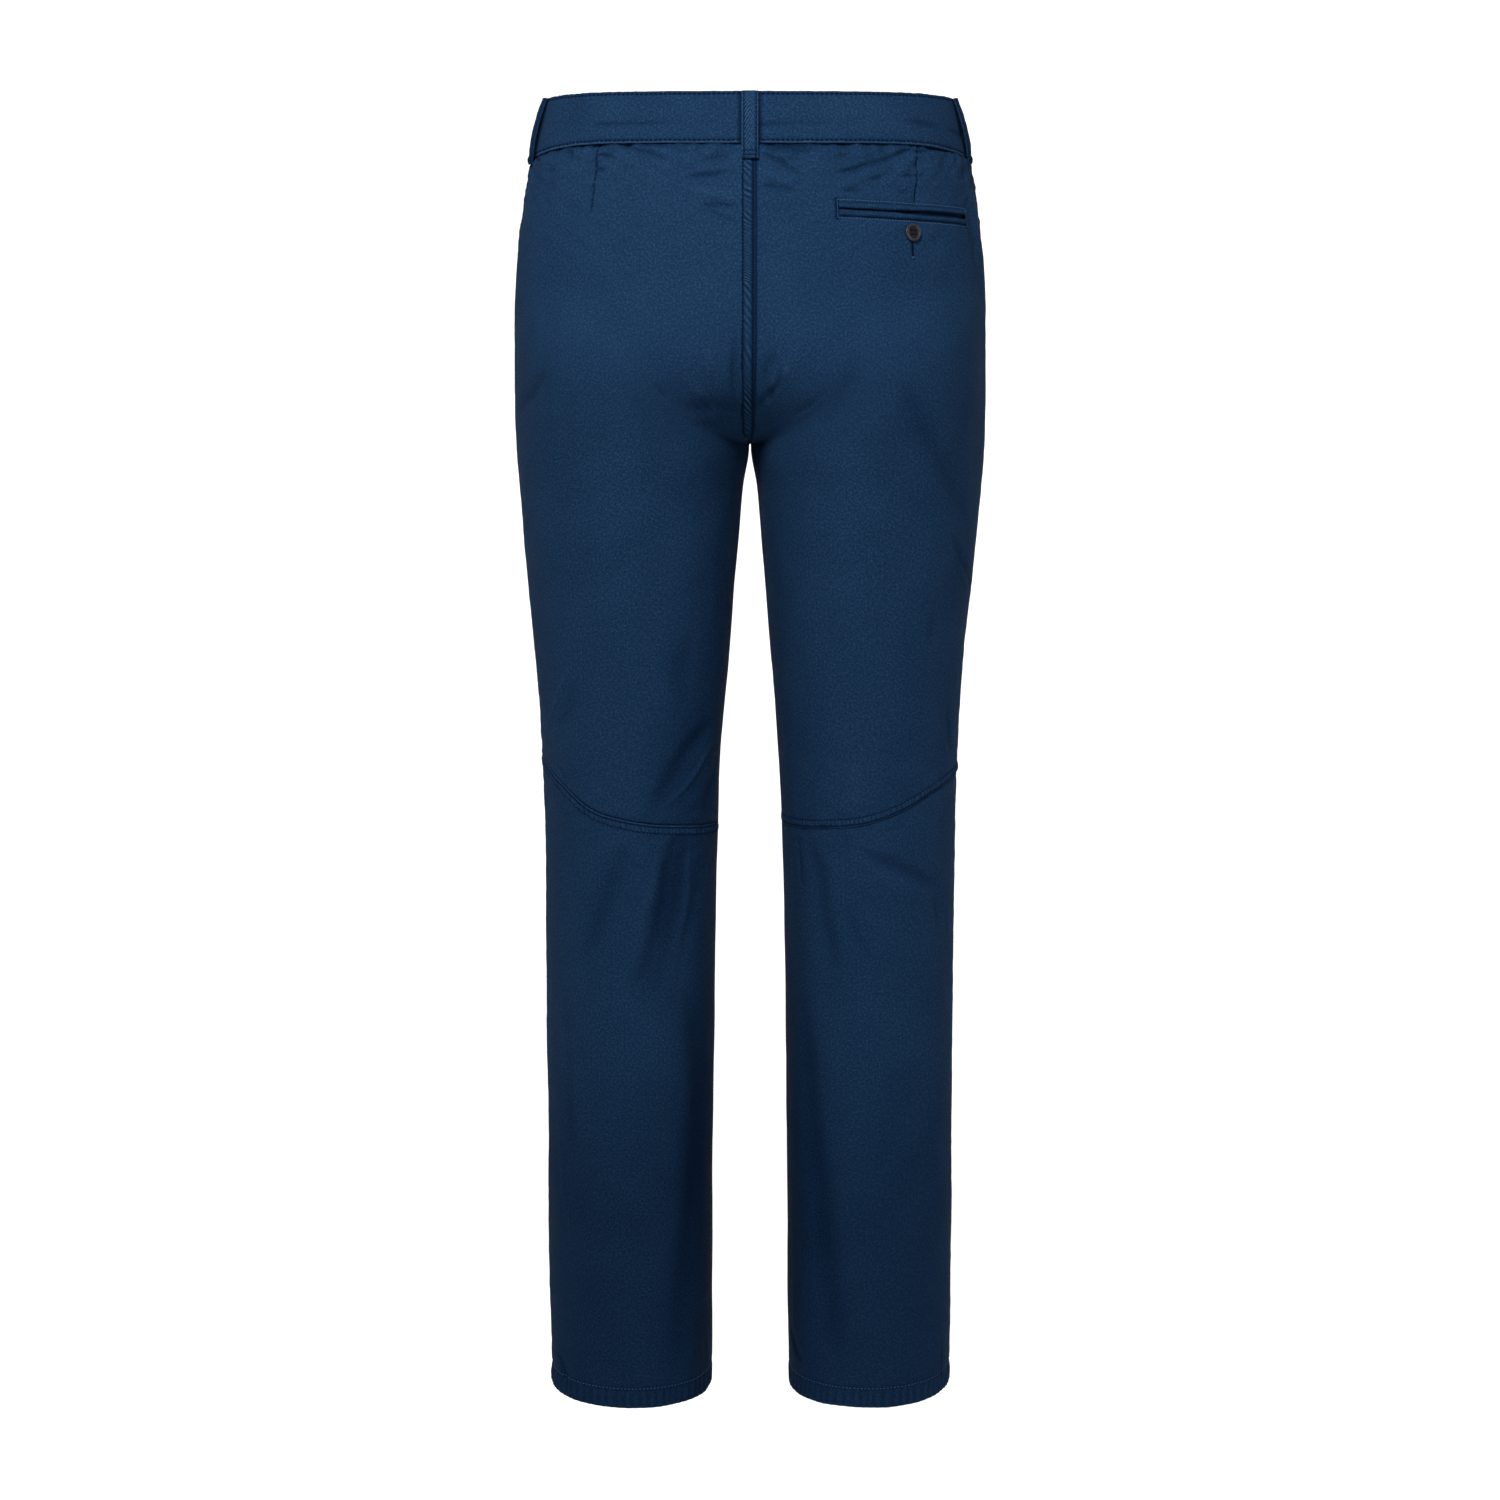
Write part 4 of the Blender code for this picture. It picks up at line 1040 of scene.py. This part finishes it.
def loopSheet(name):
    def place(across, down):
        offset = (across - 0.5) * loop["width"]
        points, normals, out = loopSurface(name, offset, denser(down, 0.3))
        inward = loop["width"] / 2 - np.abs(offset)
        edge, sewnAt = fading(inward, 0.0008), inward - loop["stitchIn"]
        zigzag = np.sin(2 * pi * (np.abs(offset) * 1.4 - down * loop["length"]) / 0.0031)
        # painted highlight on the loop's edges, strong on the back loop; painted shade over the
        # side loops and in the stitch rows and tacks; the zigzag added on return is the weave
        rim, level = (1.4, 0) if name == "back" else (0.2, -0.8)
        paintedLightAndWeave = level + rim * edge - 1.6 * peak(sewnAt, 0.0008)
        for tack in loop["tacks"]:
            paintedLightAndWeave -= 1.6 * peak(denser(down, 0.3) - tack, 0.012)
        return points, paintedLightAndWeave + 1.5 * zigzag * (sewnAt > 0.0006)
    return place


for name in loops:
    makeSheet(f"belt_loop_{name}_cloth", 16, 60, loopSheet(name), "loopCloth",
                                [f"belt_loop_{name}"], loop["wall"])
print("belt loops made")


def weltSheet(above):
    def place(across, down):
        angle, mouth = pocketPlace(across)
        share = 1 - down if above > 0 else down  # 0 at the mouth
        half = pocket["slit"] / 2 * (0.35 + 2.0 * ease((across - 0.25) * 3))
        half = half * ease((1 - across) * 20) + 0.0001
        over = half + (pocket["welt"] + pocket["slit"] / 2 - half) * share
        level = mouth + above * over
        out = 0.0012 + pocket["plump"] * np.sin(pi * np.clip(share * 1.1, 0, 1))
        out += edgeDip(share * pocket["welt"], 0.0006, 0.0006)
        out += edgeDip((1 - share) * pocket["welt"], 0.0010, 0.0007)
        ends = ease(np.minimum(across, 1 - across) * 60)
        along = ringRadius(level) * angle
        out = out + ripple(along, 0.010, 7.7 + above) * 0.00038 - 0.0009 * (1 - ends)
        # the panel's own hollow behind the mouth doesn't pull the welts in
        points = clothPoint(1, angle, level, out) + formNormal(1, angle, level) * (
            -pocketRelief(1, angle, level))[..., None]
        # painted shade and highlight from the welts' relief, painted shade at their outer edges
        # and in the mouth
        paintedLightAndWeave = 260 * (out - 0.0015) - 1.1 * fading((1 - share) * pocket["welt"], 0.0007)
        return points, paintedLightAndWeave - 2.0 * fading(share * pocket["welt"], 0.0006)
    return place


welts = [makeSheet(f"pocket_welt_{word}_cloth", 110, 10, weltSheet(above), "bodyCloth",
                   [f"pocket_welt_{word}"], 0.0009)
         for word, above in (("upper", 1), ("lower", -1))]
print("pocket made")


def stitchTemplate():
    bm = bmesh.new()
    bmesh.ops.create_uvsphere(bm, u_segments=6, v_segments=4, radius=0.5)
    return meshFrom(bm, "stitch")


stitch = stitchTemplate()


class Sewing:  # gathers one thread's stitches into one mesh
    def __init__(self, name, finish="threadPaintedShade"):
        self.name, self.finish = name, finish
        self.bm = bmesh.new()

    def row(self, points, normals, pitch, length, wide, seed=1.0, cross=False):
        steps = np.linalg.norm(np.diff(points, axis=0), axis=1)
        reached = np.concatenate([[0], np.cumsum(steps)])
        count = max(1, int(reached[-1] / pitch))
        for i in range(count):
            at = (i + 0.5) * reached[-1] / count
            here, ahead, behind, out = (
                Vector([np.interp(spot, reached, column[:, k]) for k in range(3)])
                for spot, column in ((at, points), (at + 0.0004, points), (at - 0.0004, points),
                                     (at, normals)))
            along = (ahead - behind).normalized()
            aside = along.cross(out).normalized()
            lean = noise.noise(Vector((i * 0.7, seed, 0.3))) * 0.25
            run = (aside if cross else along) + lean * (along if cross else aside)
            run.normalize()
            wideWay = run.cross(out).normalized()
            size = length * (1 + lean * 0.6)
            shape = Matrix((wideWay * wide, out * wide * 0.8, run * size)).transposed().to_4x4()
            place = Matrix.Translation(here) @ shape
            stitch.transform(place)
            self.bm.from_mesh(stitch)
            stitch.transform(place.inverted())

    def sewUp(self):
        mesh = meshFrom(self.bm, self.name)
        mesh.shade_smooth()
        return finishPiece(self.name, mesh, self.finish)


def clothLine(side, angle, level, out):
    angle, level = np.broadcast_arrays(angle, level)
    out = np.broadcast_to(np.asarray(out, float), angle.shape)
    return clothPoint(side, angle, level, out), formNormal(side, angle, level)


sewn = {}
thread = Sewing("waistband_stitches")
q = np.linspace(-0.10, 4 * pi + 0.08, 900)
edge = band["stitchIn"] / band["height"]
for share in (edge, 1 - edge):
    points, normals, relief = bandSurface(q, np.full(q.shape, share), 0.00008)
    thread.row(points, normals, 0.0038, 0.0030, 0.0019, share)
sewn["band"] = thread.sewUp()

thread = Sewing("seat_stitches")
level = np.linspace(-0.042, -0.226, 200)
for line in fell["rows"]:
    offset = line * fellNarrow(level)
    out = fell["rise"] - fell["channel"] + 0.0001
    points = centreStrip(-1, offset, level, np.full(level.shape, out))
    normals = formNormal(1, np.full(level.shape, -pi), level)
    thread.row(points, normals, 0.0028, 0.0019, 0.0013, line * 1000)
sewn["seat"] = thread.sewUp()

for side, word in ((-1, "left"), (1, "right")):
    thread = Sewing(f"knee_stitches_{word}")
    angle = np.linspace(-pi + 0.03, -0.03, 200)
    for line in fell["kneeRows"]:
        level = kneeLevel(side, angle) + side * line
        out = fell["kneeRise"] - fell["channel"] + 0.0001
        thread.row(*clothLine(side, angle, level, out), 0.0030, 0.0019, 0.0009, line * 900)
    sewn["knee" + word] = thread.sewUp()
    thread = Sewing(f"hem_stitches_{word}", "threadPale")
    angle = np.linspace(-pi + 0.02, pi - 0.02, 400)
    level = hemLevel(angle) + body["hemRow"]
    thread.row(*clothLine(side, angle, level, -body["hemDip"] + 0.0002), 0.0031, 0.0020, 0.0010)
    sewn["hem" + word] = thread.sewUp()

thread = Sewing("dart_stitches")
for row in darts:
    dart = dict(zip(dartNames, row))
    angle, level = dartPlace(dart, np.linspace(0.03, 1, 60))
    thread.row(*clothLine(dart["side"], angle, level, 0.0002), 0.0031, 0.0017, 0.0007)
sewn["darts"] = thread.sewUp()

thread = Sewing("loop_stitches")
share = np.linspace(0.03, 0.93, 80)
for name in loops:
    for edge in (-1, 1):
        offset = np.full(share.shape, edge * (loop["width"] / 2 - loop["stitchIn"]))
        points, normals, out = loopSurface(name, offset, share, 0.00008)
        thread.row(points, normals, 0.0026, 0.0018, 0.0007, edge)
    for end in loop["tacks"]:
        offset = np.linspace(-0.0050, 0.0050, 20)
        points, normals, out = loopSurface(name, offset, np.full(20, end), 0.0001)
        thread.row(points, normals, 0.0012, 0.0013, 0.00055)
sewn["loops"] = thread.sewUp()

thread = Sewing("pocket_stitches", "threadPale")
angle, mouth = pocketPlace(np.linspace(-0.006, 1.006, 120))
for over in (-pocket["row"], pocket["row"]):
    thread.row(*clothLine(1, angle, mouth + over, 0.0001), 0.0024, 0.0017, 0.0011, over * 700)
for end, count in ((-0.006, 1), (1.006, 3)):  # bars across the ends, three where they fasten
    level = pocketPlace(end)[1] + np.linspace(-pocket["row"], pocket["row"], 20)
    for i in range(count):
        turn = pocketPlace(end + i * 0.006)[0]
        thread.row(*clothLine(1, np.full(20, turn), level, 0.0004), 0.0014, 0.0015, 0.0006)
sewn["pocket"] = thread.sewUp()

thread = Sewing("front_stitches")
share = np.linspace(0, 1, 140)  # the fly's curved row, down and in to the centre seam
drop = np.minimum(share * 1.25, 1)
level = waistLevel(np.array(pi)) - 0.002 - 0.118 * drop - 0.022 * ease((share - 0.72) / 0.28)
offset = 0.036 * (1 - ease((share - 0.66) / 0.34) * 0.86)
angle = pi - centreTurn(1, offset, level)
thread.row(*clothLine(-1, angle, level, 0.0001), 0.0029, 0.0021, 0.00082)
sewn["front"] = thread.sewUp()
print("stitches made")

button = {"radius": 0.0070, "thick": 0.0026, "hole": 0.0008, "pitch": 0.0015, "steps": 48,
          "rimStart": 0.66, "rimFade": 0.10, "edgeFade": 0.06, "threadAt": 0.78,
          "threadReach": 0.0024, "sharp": 50, "stand": 0.0004}
buttonOutline = (  # share of the radius, share of the thickness
    (0.0, 0.0), (0.80, 0.0), (0.93, 0.14), (0.99, 0.36), (1.0, 0.58), (0.97, 0.82), (0.90, 0.97),
    (0.84, 1.0), (0.77, 0.97), (0.70, 0.84), (0.63, 0.72), (0.55, 0.69), (0.0, 0.69))
buttons = {
    "pocket_button": {"side": 1, "angle": -97.5, "level": -0.1078, "clear": 0.0},
    "waist_button": {"side": -1, "angle": 178.0, "level": -0.0320, "clear": 0.0033},
}


def buttonDisc(name):
    bm = bmesh.new()
    rim = [bm.verts.new((out * button["radius"], 0, up * button["thick"]))
           for out, up in buttonOutline]
    edges = [bm.edges.new(pair) for pair in zip(rim, rim[1:])]
    bmesh.ops.spin(bm, geom=rim + edges, cent=(0, 0, 0), axis=(0, 0, 1), angle=2 * pi,
                   steps=button["steps"], use_merge=True)
    bmesh.ops.remove_doubles(bm, verts=bm.verts, dist=0.00001)
    bmesh.ops.recalc_face_normals(bm, faces=bm.faces)
    return meshFrom(bm, name)


def buttonHoles():  # four rods that are cut out of the disc
    bm = bmesh.new()
    for x in (-button["pitch"], button["pitch"]):
        for y in (-button["pitch"], button["pitch"]):
            bmesh.ops.create_cone(bm, cap_ends=True, segments=14, radius1=button["hole"],
                                  radius2=button["hole"], depth=button["thick"] * 3,
                                  matrix=Matrix.Translation((x, y, button["thick"] / 2)))
    return meshFrom(bm, "holes")


def makeButton(name, side, angle, level, clear):
    disc = link(bpy.data.objects.new(name + "_disc", buttonDisc(name + "_disc")))
    rods = link(bpy.data.objects.new(name + "_rods", buttonHoles()))
    cut = disc.modifiers.new("holes", "BOOLEAN")
    cut.object = rods
    view = bpy.context.evaluated_depsgraph_get()
    mesh = bpy.data.meshes.new_from_object(disc.evaluated_get(view))
    for item in (disc, rods):
        bpy.data.objects.remove(item)
    turn = np.array(math.radians(angle))
    out = Vector(formNormal(side, turn, level))
    spot = Vector(clothPoint(side, turn, np.array(level), np.array(clear + button["stand"])))
    across = Vector((0, 0, 1)).cross(out).normalized()
    facing = Matrix((across, out.cross(across), out)).transposed().to_4x4()
    place = Matrix.Translation(spot) @ facing
    # painted highlight: a lighter ring just inside the button's edge
    paintedLightAndWeave = mesh.attributes.new("paintedLightAndWeave", "FLOAT", "POINT")
    for i, vert in enumerate(mesh.vertices):
        reach = vert.co.xy.length / button["radius"]
        inside = ease((1.0 - reach) / button["edgeFade"])
        paintedLightAndWeave.data[i].value = ease((reach - button["rimStart"]) / button["rimFade"]) * inside
    mesh.transform(place)
    mesh.shade_smooth()
    mesh.set_sharp_from_angle(angle=math.radians(button["sharp"]))
    piece = finishPiece(name + "_horn", mesh, "horn", [name])
    tie = Sewing(name + "_thread")
    high, reach = button["thick"] * button["threadAt"], button["threadReach"]
    for y in (-button["pitch"], button["pitch"]):
        for lift in (0.0, 0.0003):
            ends = np.array([place @ Vector((x, y + lift, high)) for x in (-reach, 0.0, reach)])
            tie.row(ends, np.array([out] * 3), 0.0050, 0.0040, 0.0005)
    return piece, tie.sewUp()


buttonPieces = {name: makeButton(name, **row) for name, row in buttons.items()}

buttonhole = {"angle": -98.0, "top": -0.1090, "low": -0.1262, "half": 0.0006}
level = np.linspace(buttonhole["top"], buttonhole["low"], 40)
thread = Sewing("buttonhole_stitches")
for edge in (-1, 1):
    turn = math.radians(buttonhole["angle"]) + edge * buttonhole["half"] / float(ringRadius(-0.12))
    thread.row(*clothLine(1, np.full(40, turn), level, 0.0003), 0.00062, 0.0013, 0.0006, edge,
               cross=True)
sewn["hole"] = thread.sewUp()
thread = Sewing("buttonhole_bar", "threadPale")
turn = math.radians(buttonhole["angle"])
across = np.linspace(-0.0014, 0.0014, 12) / float(ringRadius(-0.12))
for i in range(3):
    thread.row(*clothLine(1, turn + across, np.full(12, buttonhole["low"] - 0.0004 * i), 0.0006),
               0.0028, 0.0030, 0.0007, i)
sewn["bar"] = thread.sewUp()
print("buttons made")

for word in ("left", "right"):
    for kind in ("back", "calf", "front"):
        columns, rows, flat, area = panels[kind]
        extra = {"back": [made["knee" + word], sewn["knee" + word]],
                 "calf": [sewn["hem" + word]], "front": []}[kind]
        if kind == "back" and word == "right":
            extra += [*welts, sewn["pocket"], sewn["hole"], sewn["bar"], made["seat"],
                      sewn["seat"], *buttonPieces["pocket_button"]]
        if kind == "back" and word == "left":
            extra += [sewn["darts"]]
        if kind == "front" and word == "left":
            extra += [made["fly"], sewn["front"]]

stage = {"floor": -1.62, "wide": 9.0, "near": -5.0, "far": 3.4, "high": 4.5, "corner": 1.2,
         "steps": 16, "paper": ((0.86, 0.86, 0.87, 1.0), (0.90, 0.90, 0.90, 1.0)), "world": 0.18}


def makeStage():
    bm = bmesh.new()
    path, corner = [(stage["near"], 0.0)], stage["corner"]
    for i in range(stage["steps"] + 1):
        turn = pi / 2 * i / stage["steps"]
        path.append((stage["far"] - corner + corner * math.sin(turn),
                     corner * (1 - math.cos(turn))))
    path.append((stage["far"], stage["high"]))
    for x in (-stage["wide"] / 2, stage["wide"] / 2):
        for y, z in path:
            bm.verts.new((x, y, stage["floor"] + z))
    bm.verts.ensure_lookup_table()
    edges = [bm.edges.new((bm.verts[row * len(path) + i], bm.verts[row * len(path) + i + 1]))
             for row in (0, 1) for i in range(len(path) - 1)]
    bmesh.ops.bridge_loops(bm, edges=edges)
    mesh = meshFrom(bm, "backdrop")
    mesh.shade_smooth()
    item = link(bpy.data.objects.new("backdrop", mesh))
    paint = Paint("paper")
    place = paint.node("ShaderNodeTexCoord", None, None, "Object")
    fibre = paint.grain(place, 60.0)
    paint.set(Base_Color=paint.mix(fibre, *stage["paper"]), Roughness=0.95)
    mesh.materials.append(paint.material)


makeStage()
lamps = {  # place, aims at, width, height, watts, spread in degrees
    "key": ((-0.32, -1.45, 1.00), (0.0, 0.0, 0.0), 0.5, 0.4, 19.4, 110),
    "fill": ((0.50, -2.30, -1.20), (0.0, 0.0, -0.20), 1.4, 0.9, 7.8, 120),
    "front": ((0.15, 3.10, 0.90), (0.0, 0.0, -0.25), 0.6, 0.6, 34.0, 90),
    "paperLeft": ((-2.6, 0.9, 0.6), (0.0, 3.2, -0.6), 1.4, 2.0, 58.0, 150),
    "paperRight": ((2.6, 0.9, 0.6), (0.0, 3.2, -0.6), 1.4, 2.0, 58.0, 150),
}
for name, (place, aim, wide, tall, watts, spread) in lamps.items():
    lamp = bpy.data.lights.new(name, "AREA")
    lamp.shape, lamp.size, lamp.size_y, lamp.energy = "RECTANGLE", wide, tall, watts
    lamp.spread = math.radians(spread)
    item = link(bpy.data.objects.new(name, lamp))
    item.location = place
    item.rotation_euler = (Vector(aim) - Vector(place)).to_track_quat("-Z", "Y").to_euler()
    item.visible_camera = False
world = bpy.data.worlds.new("studio")
world.use_nodes = True
light = world.node_tree.nodes["Background"].inputs
light["Color"].default_value = (1, 1, 1, 1)
light["Strength"].default_value = stage["world"]
bpy.context.scene.world = world
bpy.context.scene.view_settings.view_transform = "Standard"
print("stage set")
